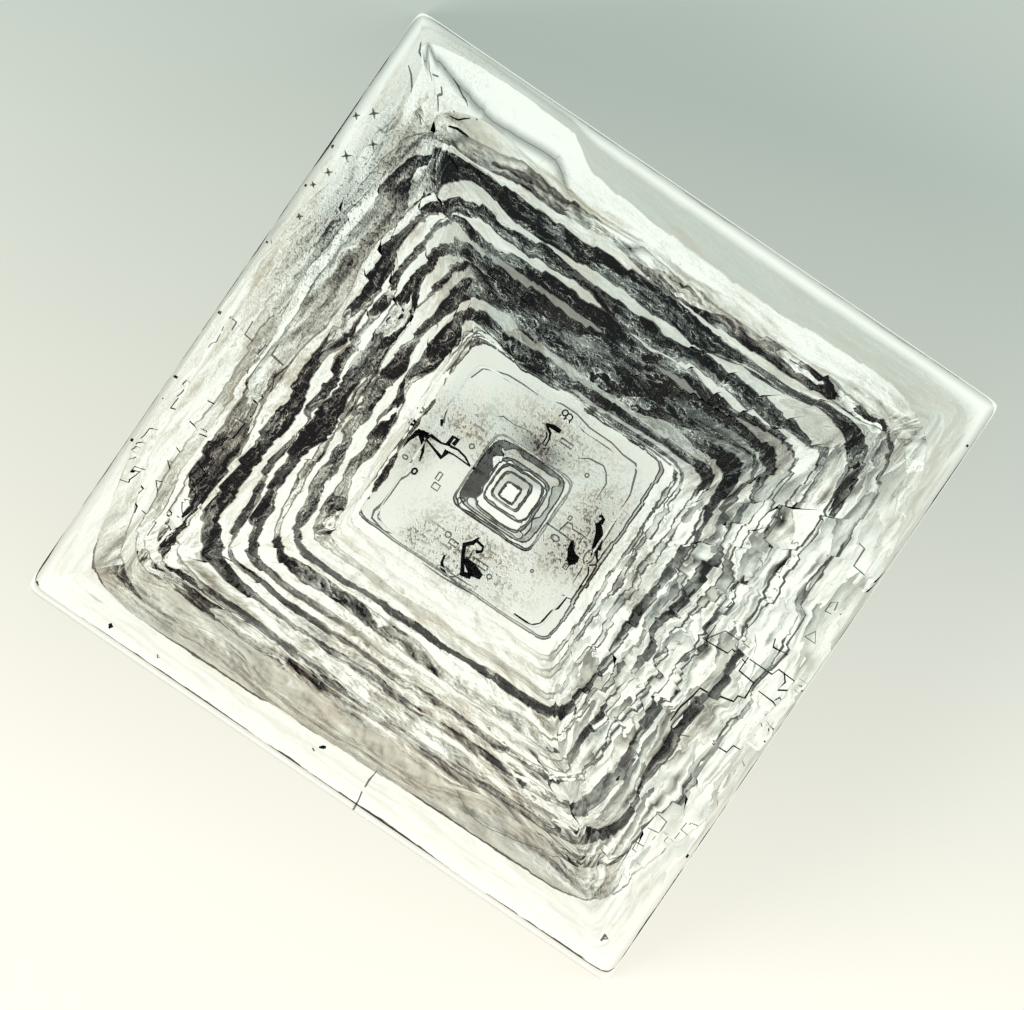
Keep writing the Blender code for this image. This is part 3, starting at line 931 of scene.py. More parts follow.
RIM_MARKS: tuple[Stroke, ...] = (
    # star-shaped nicks on the left
    *cross(-1516, 1092, 21, 21),
    *cross(-1578, 1038, 16, 16),
    *cross(-1439, 973, 19, 19),
    *cross(-1588, 861, 5, 11),
    *cross(-1511, 861, 21, 21),
    *cross(-1536, 752, 16, 16),
    *cross(-1562, 666, 12, 12),
    *cross(-1532, 510, 14, 14),
    # the crack and the specks in front
    grey((193, -1385, 2), (186, -1443, 7), (189, -1481, 5)),
    grey((189, -1504, 5), (198, -1546, 5), (203, -1597, 7)),
    dark((-1199, -1520, 12), (-1185, -1527, 14), (-1192, -1539, 7)),
    dark((-88, -1448, 5), (-72, -1436, 12), (-61, -1429, 7)),
    grey((-112, -1467, 5), (-95, -1474, 5)),
    grey((1478, -1415, 9), (1478, -1453, 7)),
    grey((1478, -1420, 7), (1499, -1427, 7), (1481, -1439, 5)),
    grey((-938, -1513, 5), (-929, -1525, 5), (-922, -1518, 2)),
    # notches along the left and the right side
    dark((-1588, 649, 7), (-1588, 637, 7)),
    dark((-1588, 333, 7), (-1588, 324, 7)),
    dark((-1588, -53, 7), (-1588, -67, 7)),
    dark((-1588, -410, 9), (-1588, -423, 9)),
    dark((-1588, -761, 9), (-1588, -775, 9)),
    dark((1586, 1371, 7), (1586, 1359, 7)),
    dark((1586, -271, 7), (1586, -280, 7)),
    dark((1586, -900, 7), (1586, -918, 7)),
)


@dataclass
class Marks:
    """Small flat inclusions and cracks that lie just under a face of the crystal."""

    name: str
    strokes: tuple[Stroke, ...]
    depth: float                  # height of their upper side, mm
    thick: float = 0.004          # mm
    bold: float = 1.5             # times the strokes' own widths

    def ribbon(self, stroke: Stroke) -> tuple[np.ndarray, np.ndarray]:
        """One stroke as a closed flat bar of changing width.

        At each point the bar reaches half its width to either side, square to the line through the
        two points next to it.

        Args:
            stroke: the stroke.

        Returns:
            Points in mm, (4 n, 3), and faces, (4 n - 2, 4).
        """
        rows = np.array(stroke.points, float) * UM / MM
        middle, half = rows[:, :2], rows[:, 2:] * self.bold / 2
        count = len(rows)
        along = np.gradient(middle, axis=0)
        along /= np.linalg.norm(along, axis=1, keepdims=True) + TINY
        side = np.column_stack([-along[:, 1], along[:, 0]]) * half
        left, right = middle + side, middle - side
        top, low = np.full((count, 1), self.depth), np.full((count, 1), self.depth - self.thick)
        points = np.concatenate([
            np.hstack([flat, level])
            for flat, level in ((left, top), (right, top), (left, low), (right, low))])
        i = np.arange(count - 1)
        a, b, c, d = i, i + count, i + 2 * count, i + 3 * count
        last = count - 1
        faces = np.concatenate([
            np.column_stack([a, b, b + 1, a + 1]), np.column_stack([c, c + 1, d + 1, d]),
            np.column_stack([a, a + 1, c + 1, c]), np.column_stack([b, d, d + 1, b + 1]),
            [[0, 2 * count, 3 * count, count], [last, last + count, last + 3 * count, last + 2 * count]],
        ])
        return points, faces

    def build(self, materials: list[bpy.types.Material]) -> bpy.types.Object:
        """Joins the strokes into one object.

        Args:
            materials: one for each ink, in the order of Ink.

        Returns:
            The joined marks.
        """
        points, faces, inks = [], [], []
        order, start = list(Ink), 0
        for stroke in self.strokes:
            some, joined = self.ribbon(stroke)
            points.append(some)
            faces.append(joined + start)
            inks += [order.index(stroke.ink)] * len(joined)
            start += len(some)
        mesh = bpy.data.meshes.new(self.name)
        mesh.from_pydata((np.concatenate(points) * MM).tolist(), [], np.concatenate(faces).tolist())
        mesh.polygons.foreach_set("material_index", np.array(inks, np.int32))
        mesh.update()
        made = bpy.data.objects.new(self.name, mesh)
        for material in materials:
            mesh.materials.append(material)
        bpy.context.scene.collection.objects.link(made)
        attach(made, "root")
        LOG.info("%s: %d strokes", made.name, len(self.strokes))
        return made


# --------------------------------------------------------------------------- node helpers


class Graph:
    """Short calls for laying nodes in a node tree."""

    def __init__(self, tree: bpy.types.NodeTree) -> None:
        """Keeps the tree."""
        self.tree = tree

    def node(self, kind: str, **settings: object) -> bpy.types.Node:
        """A new node.

        Args:
            kind: Blender's name for it.
            settings: what is set on it.

        Returns:
            The node.
        """
        made = self.tree.nodes.new(kind)
        for name, value in settings.items():
            setattr(made, name, value)
        return made

    def put(self, socket: Socket, value: object) -> None:
        """Links a socket to another, or sets its value.

        Args:
            socket: the socket.
            value: the other socket or the value.
        """
        if isinstance(value, Socket):
            self.tree.links.new(value, socket)
        else:
            socket.default_value = value

    def fill(self, made: bpy.types.Node, *values: object) -> bpy.types.Node:
        """Puts values into a node's first sockets."""
        for socket, value in zip(made.inputs, values):
            self.put(socket, value)
        return made

    def math(self, operation: str, *values: object, clamp: bool = False) -> Socket:
        """One Math node."""
        made = self.node("ShaderNodeMath", operation=operation, use_clamp=clamp)
        return self.fill(made, *values).outputs[0]

    def less(self, value: object, taken: object) -> Socket:
        """A difference."""
        return self.math("SUBTRACT", value, taken)

    def times(self, first: object, *others: object) -> Socket:
        """A product."""
        for other in others:
            first = self.math("MULTIPLY", first, other)
        return first

    def total(self, *pairs: tuple[object, object]) -> Socket:
        """The sum of each pair's product.

        Args:
            pairs: values or sockets, two and two.

        Returns:
            The sum.
        """
        made = self.math("MULTIPLY", *pairs[0])
        for pair in pairs[1:]:
            made = self.math("MULTIPLY_ADD", *pair, made)
        return made

    def vector(self, operation: str, *values: object) -> Socket:
        """One Vector Math node that gives a vector."""
        return self.fill(self.node("ShaderNodeVectorMath", operation=operation), *values).outputs[0]

    def dot(self, first: object, second: object) -> Socket:
        """The dot product of two vectors."""
        made = self.node("ShaderNodeVectorMath", operation="DOT_PRODUCT")
        return self.fill(made, first, second).outputs["Value"]

    def joined(self, x: object, y: object) -> Socket:
        """A flat vector of two values."""
        return self.fill(self.node("ShaderNodeCombineXYZ"), x, y).outputs[0]

    def parted(self, value: Socket) -> tuple[Socket, Socket, Socket]:
        """A vector's three values."""
        return tuple(self.fill(self.node("ShaderNodeSeparateXYZ"), value).outputs)

    def channels(self, name: str) -> tuple[Socket, Socket, Socket, Socket]:
        """The four channels of a colour attribute of the mesh."""
        held = self.node("ShaderNodeAttribute", attribute_name=name)
        parts = self.fill(self.node("ShaderNodeSeparateColor"), held.outputs["Color"])
        return (*parts.outputs, held.outputs["Alpha"])

    def ramp(self, value: object, low: float, high: float, out_low: float = 0.0,
             out_high: float = 1.0) -> Socket:
        """A smooth step from one range to another.

        Args:
            value: what is mapped.
            low: from here.
            high: to here.
            out_low: what low gives.
            out_high: what high gives.

        Returns:
            The mapped value.
        """
        made = self.node("ShaderNodeMapRange", interpolation_type="SMOOTHSTEP", clamp=True)
        return self.fill(made, value, low, high, out_low, out_high).outputs[0]

    def mix(self, factor: object, first: object, second: object, kind: str = "FLOAT") -> Socket:
        """A blend of two values, vectors or colours.

        Args:
            factor: 0 gives the first and 1 the second.
            first: the first.
            second: the second.
            kind: FLOAT, VECTOR or RGBA.

        Returns:
            The blend.
        """
        made = self.node("ShaderNodeMix", data_type=kind)
        a, b, result = MIX_SOCKETS[kind]
        for place, value in ((0, factor), (a, first), (b, second)):
            self.put(made.inputs[place], value)
        return made.outputs[result]

    def colours(self, value: Socket, *stops: Four) -> Socket:
        """A colour ramp with evenly set stops.

        Args:
            value: from 0 for the first stop to 1 for the last.
            stops: their colours.

        Returns:
            The colour.
        """
        made = self.fill(self.node("ShaderNodeValToRGB"), value)
        elements, places = made.color_ramp.elements, np.linspace(0.0, 1.0, len(stops))
        for place in places[1:-1]:
            elements.new(place)
        for element, place, colour in zip(elements, places, stops):
            element.position, element.color = place, colour
        return made.outputs["Color"]

    def noise(self, place: Socket, detail: object, roughness: float) -> Socket:
        """Flat Perlin noise.

        Args:
            place: where.
            detail: finer and finer layers of it.
            roughness: how strong the finer layers are.

        Returns:
            The noise, from 0 to 1.
        """
        made = self.node("ShaderNodeTexNoise", noise_dimensions="2D")
        for name, value in (("Vector", place), ("Scale", 1.0), ("Detail", detail), ("Roughness", roughness)):
            self.put(made.inputs[name], value)
        return made.outputs["Fac"]

    def group(self, tree: bpy.types.NodeTree, **values: object) -> bpy.types.Node:
        """Places a node group.

        Args:
            tree: the group.
            values: its inputs by name.

        Returns:
            The node.
        """
        made = self.node("ShaderNodeGroup", node_tree=tree)
        for name, value in values.items():
            self.put(made.inputs[name], value)
        return made


def new_group(name: str, inputs: tuple[str, ...], outputs: tuple[str, ...]
              ) -> tuple[Graph, bpy.types.Node, bpy.types.Node]:
    """A node group of single values, but for the input Place, which is a vector.

    Args:
        name: the group's name.
        inputs: names of its inputs.
        outputs: names of its outputs.

    Returns:
        Its graph, its input node and its output node.
    """
    tree = bpy.data.node_groups.new(name, "ShaderNodeTree")
    for label in inputs:
        kind = "NodeSocketVector" if label == "Place" else "NodeSocketFloat"
        tree.interface.new_socket(label, in_out="INPUT", socket_type=kind)
    for label in outputs:
        tree.interface.new_socket(label, in_out="OUTPUT", socket_type="NodeSocketFloat")
    graph = Graph(tree)
    return graph, graph.node("NodeGroupInput"), graph.node("NodeGroupOutput")


def streaks_group(roughness: float = 0.6, step: tuple[float, float, float] = (0.12, 0.22, 0.0)
                  ) -> bpy.types.NodeTree:
    """Noise drawn out along the ledges and the slope of its ridges, which lie where it passes its
    middle value. A ridge's height is the distance to that value, and the slope is the height less
    the height a short step further on.

    Args:
        roughness: of the noise.
        step: the short step, in the noise's own units.

    Returns:
        The group.
    """
    graph, given, result = new_group(
        "ledge streaks", ("Place", "Along", "Across", "Detail"), ("Value", "Slope"))
    scale = graph.joined(given.outputs["Along"], given.outputs["Across"])
    place = graph.vector("MULTIPLY", given.outputs["Place"], scale)
    value, further = (
        graph.noise(at, given.outputs["Detail"], roughness)
        for at in (place, graph.vector("ADD", place, step)))
    height, next_height = (
        graph.math("ABSOLUTE", graph.less(each, NOISE_MIDDLE)) for each in (value, further))
    graph.put(result.inputs["Value"], value)
    graph.put(result.inputs["Slope"], graph.less(height, next_height))
    return graph.tree


def facets_group(lean: tuple[float, float, float] = (0.5, 0.9, 0.0)) -> bpy.types.NodeTree:
    """Long facets along the ledges: Voronoi cells in the ledges' coordinates, pushed about by a
    given shift. Gives a random tone for each facet, its slope, which is the way from the facet's
    middle along one direction, and its thin outline.

    Args:
        lean: the direction of the slope.

    Returns:
        The group.
    """
    graph, given, result = new_group(
        "ledge facets", ("Place", "Along", "Across", "Shift", "Outline"), ("Tone", "Slope", "Outline"))
    scale = graph.joined(given.outputs["Along"], given.outputs["Across"])
    shift = graph.joined(given.outputs["Shift"], given.outputs["Shift"])
    place = graph.vector("ADD", graph.vector("MULTIPLY", given.outputs["Place"], scale), shift)
    cells = graph.node("ShaderNodeTexVoronoi", voronoi_dimensions="2D", feature="F1")
    edges = graph.node("ShaderNodeTexVoronoi", voronoi_dimensions="2D", feature="DISTANCE_TO_EDGE")
    for texture in (cells, edges):
        graph.put(texture.inputs["Vector"], place)
        graph.put(texture.inputs["Scale"], 1.0)
    tone = graph.fill(graph.node("ShaderNodeSeparateColor"), cells.outputs["Color"]).outputs[0]
    from_middle = graph.vector("SUBTRACT", place, cells.outputs["Position"])
    graph.put(result.inputs["Tone"], tone)
    graph.put(result.inputs["Slope"], graph.dot(from_middle, lean))
    graph.put(result.inputs["Outline"], graph.ramp(edges.outputs["Distance"], given.outputs["Outline"], 0.0))
    return graph.tree


# --------------------------------------------------------------------------- the pattern


@dataclass(frozen=True)
class Grain:
    """How fine a texture is: its repeats along and across the ledges, per mm, and its detail."""

    along: float
    across: float
    detail: float = 2.0


@dataclass(frozen=True)
class Reading:
    """What the pattern reads at each point.

    edge, wall, tread, crease: the surface's relief.
    satin, facet, crumple, speckle, warm: its looks.
    fall: how far in from the crystal's side the point is.
    long, fine, mesh: the three streaks' values, from -0.5 to 0.5.
    long_slope, fine_slope, mesh_slope: the slopes of their ridges.
    tone: the facet's own tone, round zero.
    facet_slope: the way from the facet's middle.
    outline: the facets' outlines.
    """

    edge: Socket
    wall: Socket
    tread: Socket
    crease: Socket
    satin: Socket
    facet: Socket
    crumple: Socket
    speckle: Socket
    warm: Socket
    fall: Socket
    long: Socket
    fine: Socket
    mesh: Socket
    long_slope: Socket
    fine_slope: Socket
    mesh_slope: Socket
    tone: Socket
    facet_slope: Socket
    outline: Socket


@dataclass(frozen=True)
class LedgePattern:
    """Painted shade and painted light over the ledges. Sizes are in mm, and weights are shares of full
    darkness.
    """

    long_grain: Grain = Grain(2.2, 11.0)            # painted lit and shaded folds
    fine_grain: Grain = Grain(11.0, 38.0)           # ripples in the folds
    mesh_grain: Grain = Grain(70.0, 54.0, 1.0)      # crinkles and specks
    facet_grain: Grain = Grain(3.2, 10.0)
    facet_push: Pair = (2.6, 0.5)                   # how far folds and ripples push the facets about
    facet_outline: float = 0.045
    tone_middle: float = 0.45

    edge_blur: float = 0.002                        # half width of the change from wall to tread
    edge_sway: Pair = (0.015, 0.016)                # how far folds and ripples push a wall's edge
    dark_sway: float = 0.050                        # how much further folds do on dark crumpled walls
    dark_walls: Pair = (0.2, 0.9)
    full_crease: Pair = (0.3, 0.6)                  # walls so dark carry the patterns in full

    breaking: Pair = (0.38, 0.5)                    # walls so dark break up into black and pale facets,
    satin_breaking: Four = (0.6, 1.0, 0.75, 0.2)    # and do so less where they are soft
    missing: float = 0.8                            # spread of the facets' tones
    break_soft: float = 0.16

    fold_weights: Three = (3.0, 1.5, 0.25)          # folds' slope, ripples' slope, tone
    plane_weights: Three = (0.36, 0.50, 1.2)        # tone, facets' slope, folds' slope
    crinkle_weights: Four = (0.8, 1.1, 1.5, 0.45)   # ripples' slope, mesh's slope, folds, tone

    strata: float = 15.0                            # fine lines along the ledges, per mm
    strata_sway: Pair = (4.0, 1.2)                  # how far folds and ripples push them, in lines
    strata_line: float = 0.05                       # half width of a line, in lines
    strata_gaps: Pair = (0.42, 0.58)                # a line shows where the ripples rise over these
    strata_weights: Pair = (0.85, 0.40)             # on soft ground and on crumpled ground
    outline_weight: float = 0.6
    outline_gaps: Pair = (0.40, 0.55)
    glint_height: float = 0.08                      # painted glints lie where the ripples pass this
    glint_line: float = 0.03
    glint_weight: float = -0.6

    line_width: float = 0.006                       # of the painted shade line along each edge
    line_vary: float = 3.6                          # how much folds widen it, times its width
    line_soft: Pair = (1.0, 0.4)                    # it fades between these shares of its width
    line_gaps: Four = (-0.2, 0.0, -0.65, 0.0)       # it weakens where the folds sink,
    line_walls: Four = (0.05, 0.35, 0.2, 0.95)      # on pale walls
    line_creases: Four = (0.0, 0.3, 0.0, -0.65)     # and on soft creased ones

    speck_weights: Three = (0.9, 0.5, 0.8)          # mesh, ripples, folds
    speck_soft: Pair = (0.0, 0.16)
    speck_mix: Pair = (0.5, 1.4)                    # specks themselves and the mesh's slope
    warm_weights: Pair = (0.6, 1.0)                 # tone, folds

    def read(self, graph: Graph) -> Reading:
        """Reads the surface's values and lays the textures along them.

        Args:
            graph: the material's nodes.

        Returns:
            All that the pattern is made from.
        """
        edge, wall, tread, crease = graph.channels("relief")
        satin, facet, crumple, speckle = graph.channels("looks")
        flow = graph.node("ShaderNodeAttribute", attribute_name="flow").outputs["Vector"]
        _, fall, warm = graph.parted(flow)
        place = graph.node("ShaderNodeTexCoord").outputs["Object"]
        streaks = streaks_group()
        long, fine, mesh = (
            graph.group(streaks, Place=on, Along=grain.along / unit, Across=grain.across / unit,
                        Detail=grain.detail)
            for on, unit, grain in (
                (flow, 1.0, self.long_grain), (flow, 1.0, self.fine_grain), (place, MM, self.mesh_grain)))
        values = [graph.less(each.outputs["Value"], NOISE_MIDDLE) for each in (long, fine, mesh)]
        push = graph.total(*zip(values, self.facet_push))
        grain = self.facet_grain
        cells = graph.group(facets_group(), Place=flow, Along=grain.along, Across=grain.across, Shift=push,
                            Outline=self.facet_outline)
        return Reading(
            edge, wall, tread, crease, satin, facet, crumple, speckle, warm, fall, *values,
            *(each.outputs["Slope"] for each in (long, fine, mesh)),
            graph.less(cells.outputs["Tone"], self.tone_middle), cells.outputs["Slope"],
            cells.outputs["Outline"])

    def edge_place(self, graph: Graph, seen: Reading, lively: Socket) -> Socket:
        """How far inside a wall's edge a point is, with the edge pushed about by folds and ripples.

        Args:
            graph: the material's nodes.
            seen: what the pattern reads.
            lively: how much pattern there is.

        Returns:
            The distance in mm, above zero on the wall.
        """
        by_folds, by_ripples = self.edge_sway
        more = graph.times(seen.crumple, graph.ramp(seen.wall, *self.dark_walls, 0.0, self.dark_sway))
        sway = graph.total((seen.long, graph.math("ADD", more, by_folds)), (seen.fine, by_ripples))
        return graph.math("ADD", seen.edge, graph.times(sway, lively))

    def level(self, graph: Graph, seen: Reading, lively: Socket, on_wall: Socket) -> Socket:
        """The painted shade of the wall or the tread itself. Walls of middling shade are black or pale
        by facets: a facet is black where its tone is less than the wall's darkness.

        Args:
            graph: the material's nodes.
            seen: what the pattern reads.
            lively: how much pattern there is.
            on_wall: 1 on a wall and 0 on a tread.

        Returns:
            The level.
        """
        tone = graph.math("ADD", seen.tone, self.tone_middle)
        missing = graph.times(graph.less(1.0, tone), self.missing)
        broken = graph.math("DIVIDE", graph.less(seen.wall, missing), self.break_soft, clamp=True)
        breaking = graph.times(
            graph.ramp(seen.wall, *self.breaking), graph.ramp(seen.satin, *self.satin_breaking), lively)
        return graph.mix(on_wall, seen.tread, graph.mix(breaking, seen.wall, broken))

    def relief(self, graph: Graph, seen: Reading) -> Socket:
        """Folds, facets and crinkles, each lit as if from one side.

        Args:
            graph: the material's nodes.
            seen: what the pattern reads.

        Returns:
            What they add to the darkness, round zero.
        """
        folds = graph.total(*zip((seen.long_slope, seen.fine_slope, seen.tone), self.fold_weights))
        planes = graph.total(*zip((seen.tone, seen.facet_slope, seen.long_slope), self.plane_weights))
        crinkles = graph.total(
            *zip((seen.fine_slope, seen.mesh_slope, seen.long, seen.tone), self.crinkle_weights))
        return graph.total((seen.satin, folds), (seen.facet, planes), (seen.crumple, crinkles))

    def fine_lines(self, graph: Graph, seen: Reading) -> Socket:
        """Broken lines of painted shade that follow the strata and the facets' outlines.

        Args:
            graph: the material's nodes.
            seen: what the pattern reads.

        Returns:
            How dark they are.
        """
        ripples = graph.math("ADD", seen.fine, NOISE_MIDDLE)
        sways = zip((seen.fall, seen.long, seen.fine), (self.strata, *self.strata_sway))
        to_line = graph.math("PINGPONG", graph.total(*sways), 0.5)
        strata = graph.times(
            graph.ramp(to_line, self.strata_line, 0.0), graph.ramp(ripples, *self.strata_gaps),
            graph.total(*zip((seen.satin, seen.crumple), self.strata_weights)))
        outlines = graph.times(
            seen.outline, seen.facet, self.outline_weight, graph.ramp(ripples, *self.outline_gaps))
        return graph.math("MAXIMUM", strata, outlines)

    def painted_glints(self, graph: Graph, seen: Reading) -> Socket:
        """Painted glints: short pale strokes on crumpled ground, where the ripples pass one height."""
        off = graph.math("ABSOLUTE", graph.less(seen.fine, self.glint_height))
        return graph.times(graph.ramp(off, self.glint_line, 0.0), seen.crumple)

    def edge_shade_line(self, graph: Graph, seen: Reading, lively: Socket, off_edge: Socket) -> Socket:
        """The painted shade line along each wall's edge, now wide, now gone.

        Args:
            graph: the material's nodes.
            seen: what the pattern reads.
            lively: how much pattern there is.
            off_edge: distance to the edge in mm.

        Returns:
            How dark it is.
        """
        wide = graph.math("MULTIPLY_ADD", graph.times(seen.long, lively), self.line_vary * self.line_width,
                          self.line_width)
        line = graph.ramp(graph.math("DIVIDE", graph.math("ABSOLUTE", off_edge), wide), *self.line_soft)
        whole = graph.math("MULTIPLY_ADD", graph.ramp(seen.long, *self.line_gaps), lively, 1.0)
        firm = graph.math("MULTIPLY_ADD", seen.satin, graph.ramp(seen.crease, *self.line_creases), 1.0)
        return graph.times(line, whole, graph.ramp(seen.wall, *self.line_walls), firm)

    def specks(self, graph: Graph, seen: Reading) -> Socket:
        """Dark specks in the mesh, lit as if from one side."""
        heights = graph.total(*zip((seen.mesh, seen.fine, seen.long), self.speck_weights))
        return graph.total(*zip((graph.ramp(heights, *self.speck_soft), seen.mesh_slope), self.speck_mix))

    def shade(self, graph: Graph) -> tuple[Socket, Socket]:
        """How dark and how warm the salt is painted at each point, both from 0 to 1: its painted shade
        with the painted relief added, then the fine lines, the painted glints, the edges' painted shade
        lines and the specks.

        Args:
            graph: the material's nodes.

        Returns:
            The darkness and the warmth.
        """
        seen = self.read(graph)
        lively = graph.math("ADD", graph.math("ADD", seen.satin, seen.facet), seen.crumple, clamp=True)
        off_edge = self.edge_place(graph, seen, lively)
        on_wall = graph.ramp(off_edge, -self.edge_blur, self.edge_blur)
        full = graph.times(on_wall, graph.ramp(seen.wall, *self.full_crease))
        strength = graph.mix(full, seen.crease, 1.0)
        level = self.level(graph, seen, lively, on_wall)
        dark = graph.math("MULTIPLY_ADD", strength, self.relief(graph, seen), level)
        dark = graph.math("MAXIMUM", dark, graph.times(self.fine_lines(graph, seen), strength))
        # painted glints lighten the painted shade
        pale = graph.times(self.painted_glints(graph, seen), strength)
        dark = graph.math("MULTIPLY_ADD", pale, self.glint_weight, dark)
        dark = graph.math("MAXIMUM", dark, self.edge_shade_line(graph, seen, lively, off_edge))
        dark = graph.math("MULTIPLY_ADD", self.specks(graph, seen), seen.speckle, dark, clamp=True)
        stray = graph.total(*zip((seen.tone, seen.long), self.warm_weights))
        return dark, graph.math("ADD", seen.warm, stray, clamp=True)


# --------------------------------------------------------------------------- the finishes


@dataclass(frozen=True)
class Tint:
    """Colours of the salt's painted shade, from clear to nearly black. Colours are linear."""

    soft: Four
    dusky: Four
    murky: Four
    deep: Four


@dataclass(frozen=True)
class HaliteFinish:
    """Clear salt whose ledge walls carry painted shade, dark and broken. Colours are linear."""

    clear: Four = (0.96, 0.965, 0.95, 1.0)
    edge: Four = (0.70, 0.72, 0.69, 1.0)       # painted shade line along the underside's edge
    # the painted shade in grey-green where the light is cool and in brown where it is warm
    cool: Tint = Tint((0.36, 0.40, 0.37, 1.0), (0.088, 0.100, 0.095, 1.0), (0.011, 0.013, 0.013, 1.0),
                      (0.0001, 0.00015, 0.00018, 1.0))
    brown: Tint = Tint((0.45, 0.40, 0.31, 1.0), (0.140, 0.116, 0.084, 1.0), (0.017, 0.0135, 0.0122, 1.0),
                       (0.00022, 0.00015, 0.0002, 1.0))
    pattern: LedgePattern = LedgePattern()
    ior: float = 1.544
    pit_gloss: Four = (0.2, 0.2, 0.2, 1.0)     # the rough ledges throw their reflections aside
    roughness: float = 0.0

    def pit(self) -> bpy.types.Material:
        """The salt of the pit and the rim, coloured by its painted shade from clear to nearly black, in
        grey-green or brown by the warmth of its painted light.

        Returns:
            The material.
        """
        made = self.plain("halite pit", self.clear)
        graph = Graph(made.node_tree)
        dark, warmth = self.pattern.shade(graph)
        cool, brown = (
            graph.colours(dark, self.clear, tint.soft, tint.dusky, tint.murky, tint.deep)
            for tint in (self.cool, self.brown))
        shader = made.node_tree.nodes["Principled BSDF"]
        graph.put(shader.inputs["Base Color"], graph.mix(warmth, cool, brown, kind="RGBA"))
        shader.inputs["Specular Tint"].default_value = self.pit_gloss
        return made

    def plain(self, name: str, colour: Four) -> bpy.types.Material:
        """Salt of one colour.

        Args:
            name: the material's name.
            colour: what passes through it.

        Returns:
            Clear by plain transmission.
        """
        made = bpy.data.materials.new(name)
        made.use_nodes = True
        shader = made.node_tree.nodes["Principled BSDF"]
        shader.inputs["Base Color"].default_value = colour
        shader.inputs["Metallic"].default_value = 0.0
        shader.inputs["Roughness"].default_value = self.roughness
        shader.inputs["IOR"].default_value = self.ior
        shader.inputs["Transmission Weight"].default_value = 1.0
        return made


@dataclass(frozen=True)
class MarkFinish:
    """Real inclusions and cracks, coloured nearly black as painted shade for the light they throw
    aside; the grey ones are thin and half clear.
    """

    colour: Four = (0.012, 0.012, 0.014, 1.0)
    roughness: float = 0.6
    grey_cover: float = 0.55

    def materials(self) -> list[bpy.types.Material]:
        """One material for each ink, in the order of Ink."""
        return [self.material(ink) for ink in Ink]

    def material(self, ink: Ink) -> bpy.types.Material:
        """The material of one ink.

        Args:
            ink: the ink.

        Returns:
            Plain and dull, and half clear for the grey one.
        """
        made = bpy.data.materials.new(f"inclusion {ink.value}")
        made.use_nodes = True
        shader = made.node_tree.nodes["Principled BSDF"]
        shader.inputs["Base Color"].default_value = self.colour
        shader.inputs["Roughness"].default_value = self.roughness
        if ink is Ink.GREY:
            shader.inputs["Alpha"].default_value = self.grey_cover
        return made


# --------------------------------------------------------------------------- floor, light, camera


@dataclass(frozen=True)
class Glow:
    """A glow's colour at the front and at the back. Colours are linear."""

    near: Four
    far: Four


@dataclass(frozen=True)
class TableFinish:
    """A pale sheet that glows as on a light table, from cream at the front to a cooler, dimmer grey
    at the back, and more strongly under the crystal."""

    colour: Four = (0.30, 0.31, 0.29, 1.0)
    roughness: float = 0.9
    around: Glow = Glow((1.0, 0.965, 0.85, 1.0), (0.40, 0.475, 0.42, 1.0))
    under: Glow = Glow((1.0, 0.99, 0.89, 1.0), (0.83, 0.90, 0.83, 1.0))
    slope: Pair = (-0.08, 0.235)        # from near to far, per mm towards +X and +Y
    strength: float = 0.86
    under_gain: float = 1.40
    under_reach: Pair = (1.570, 1.63)   # the glow under the crystal ends between these, mm

    def material(self) -> bpy.types.Material:
        """The sheet's material. Its glow runs along the slope, and the brighter one ends with a smooth
        step where the larger of |x| and |y| passes the crystal's side.

        Returns:
            The material.
        """
        made = bpy.data.materials.new("floor")
        made.use_nodes = True
        graph = Graph(made.node_tree)
        shader = made.node_tree.nodes["Principled BSDF"]
        shader.inputs["Base Color"].default_value = self.colour
        shader.inputs["Roughness"].default_value = self.roughness
        place = graph.node("ShaderNodeTexCoord").outputs["Object"]
        toward = graph.dot(place, (*(slope / MM for slope in self.slope), 0.0))
        way = graph.math("ADD", toward, 0.5)
        around, under = (graph.colours(way, glow.near, glow.far) for glow in (self.around, self.under))
        brighter = graph.vector("SCALE", under)
        brighter.node.inputs["Scale"].default_value = self.under_gain
        x, y, _ = graph.parted(graph.vector("ABSOLUTE", place))
        away = graph.ramp(graph.math("MAXIMUM", x, y), *(end * MM for end in self.under_reach))
        graph.put(shader.inputs["Emission Color"], graph.mix(away, brighter, around, kind="VECTOR"))
        shader.inputs["Emission Strength"].default_value = self.strength
        return made


@dataclass(frozen=True)
class Lamp:
    """A square soft light: its place and size in mm, its power in watts and its colour."""

    name: str
    place: Three
    size: float
    watts: float
    colour: Three

    def build(self) -> None:
        """Makes the light and turns it to the crystal."""
        data = bpy.data.lights.new(self.name, "AREA")
        data.size, data.energy, data.color = self.size * MM, self.watts, self.colour
        made = bpy.data.objects.new(self.name, data)
        made.location = Vector(self.place) * MM
        made.rotation_mode = "QUATERNION"
        made.rotation_quaternion = made.location.to_track_quat("Z", "Y")
        bpy.context.scene.collection.objects.link(made)


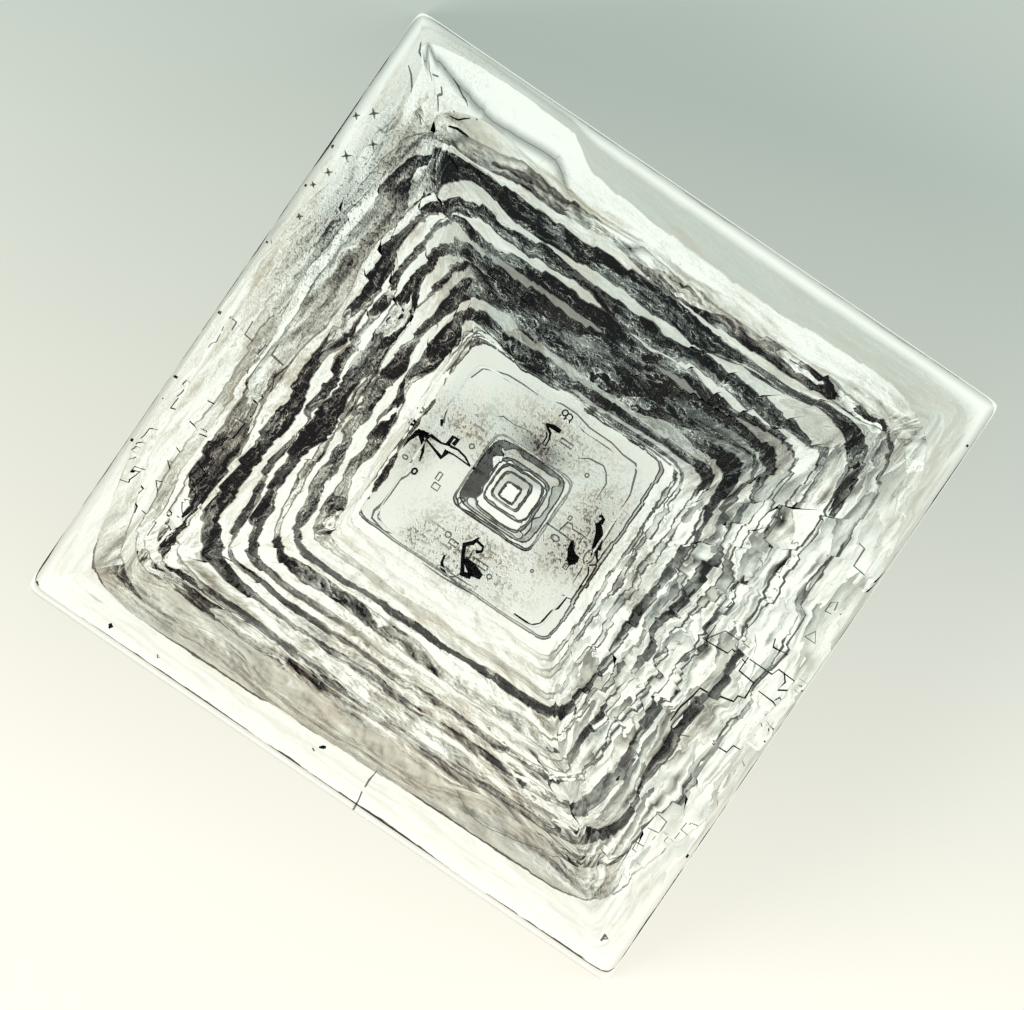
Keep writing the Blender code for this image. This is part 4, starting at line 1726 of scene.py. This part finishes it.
@dataclass
class Studio:
    """A plain pale floor lit softly, and the camera straight above the crystal."""

    turn: float = 34.3                  # of the camera about +Z, degrees
    frame_width: float = 4.754          # what the picture's width takes in, mm
    aim: Pair = (-0.0047, -0.0372)      # right and up of the crystal's middle, mm
    distance: float = 100.0             # camera above the floor, mm
    clip: Pair = (0.01, 3.0)            # nearest and farthest that it sees, in distances
    sensor: float = 36.0
    floor_half: float = 60.0
    floor_gap: float = 0.004
    floor_finish: TableFinish = TableFinish()
    lamps: tuple[Lamp, ...] = (
        Lamp("key", (-30.0, -34.0, 45.0), 30.0, 0.020, (1.0, 0.97, 0.90)),
        Lamp("fill", (40.0, 30.0, 40.0), 40.0, 0.010, (0.88, 0.95, 1.0)),
    )
    sky: Four = (0.80, 0.84, 0.83, 1.0)
    sky_strength: float = 0.25
    bounces: int = 10                   # light paths through the salt are this long at most

    def floor(self) -> bpy.types.Object:
        """A flat sheet just under the crystal.

        Returns:
            The sheet, left out of the part as its stage.
        """
        half, z = self.floor_half * MM, -self.floor_gap * MM
        corners = [(-half, -half, z), (half, -half, z), (half, half, z), (-half, half, z)]
        mesh = bpy.data.meshes.new("floor")
        mesh.from_pydata(corners, [], [(0, 1, 2, 3)])
        mesh.materials.append(self.floor_finish.material())
        made = bpy.data.objects.new("floor", mesh)
        bpy.context.scene.collection.objects.link(made)
        return made

    def camera(self) -> None:
        """The camera looks straight down, turned so that the square stands on its corner."""
        data = bpy.data.cameras.new("camera")
        data.sensor_width = self.sensor
        data.lens = self.sensor * self.distance / self.frame_width
        data.clip_start, data.clip_end = (end * self.distance * MM for end in self.clip)
        made = bpy.data.objects.new("camera", data)
        angle = math.radians(self.turn)
        right, up = self.aim
        made.location = Vector((
            right * math.cos(angle) - up * math.sin(angle),
            right * math.sin(angle) + up * math.cos(angle),
            self.distance,
        )) * MM
        made.rotation_euler = (0.0, 0.0, angle)
        bpy.context.scene.collection.objects.link(made)
        bpy.context.scene.camera = made

    def world(self) -> None:
        """A dim grey sky, and how far light is followed."""
        world = bpy.data.worlds.new("world")
        scene = bpy.context.scene
        scene.world = world
        world.use_nodes = True
        sky = world.node_tree.nodes["Background"]
        sky.inputs["Color"].default_value = self.sky
        sky.inputs["Strength"].default_value = self.sky_strength
        scene.view_settings.view_transform = "Standard"
        scene.cycles.caustics_reflective = False
        scene.cycles.caustics_refractive = False
        scene.cycles.max_bounces = self.bounces
        scene.cycles.transmission_bounces = self.bounces
        scene.cycles.diffuse_bounces = 0

    def build(self) -> None:
        """Floor, lights, camera and world."""
        self.floor()
        for lamp in self.lamps:
            lamp.build()
        self.camera()
        self.world()
        LOG.info("studio: floor, %d soft lights and the camera", len(self.lamps))


@dataclass(frozen=True)
class Depths:
    """How far under a face each set of marks lies, in mm."""

    plate: float = 0.01      # under the plate
    ledges: float = 0.02     # under the plate too, so that they are clear of the ledges
    rim: float = 0.02        # under the rim


def main() -> None:
    """Builds the crystal at the size of its solid, then the studio round it."""
    logging.basicConfig(level=logging.INFO, format="%(name)s: %(message)s")
    low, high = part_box(NODE)
    crystal = HopperCrystal(width=(high.x - low.x) / MM, height=high.z / MM)
    crystal.build(HaliteFinish())
    plate = crystal.height - sum(ledge.drop for ledge in PIT)
    under, inks = Depths(), MarkFinish().materials()
    Marks("plate_inclusions", PLATE_MARKS, depth=plate - under.plate).build(inks)
    Marks("ledge_inclusions", LEDGE_MARKS, depth=plate - under.ledges).build(inks)
    Marks("rim_inclusions", RIM_MARKS, depth=crystal.height - under.rim).build(inks)
    Studio().build()
    bpy.context.view_layer.update()


if __name__ == "__main__":
    main()
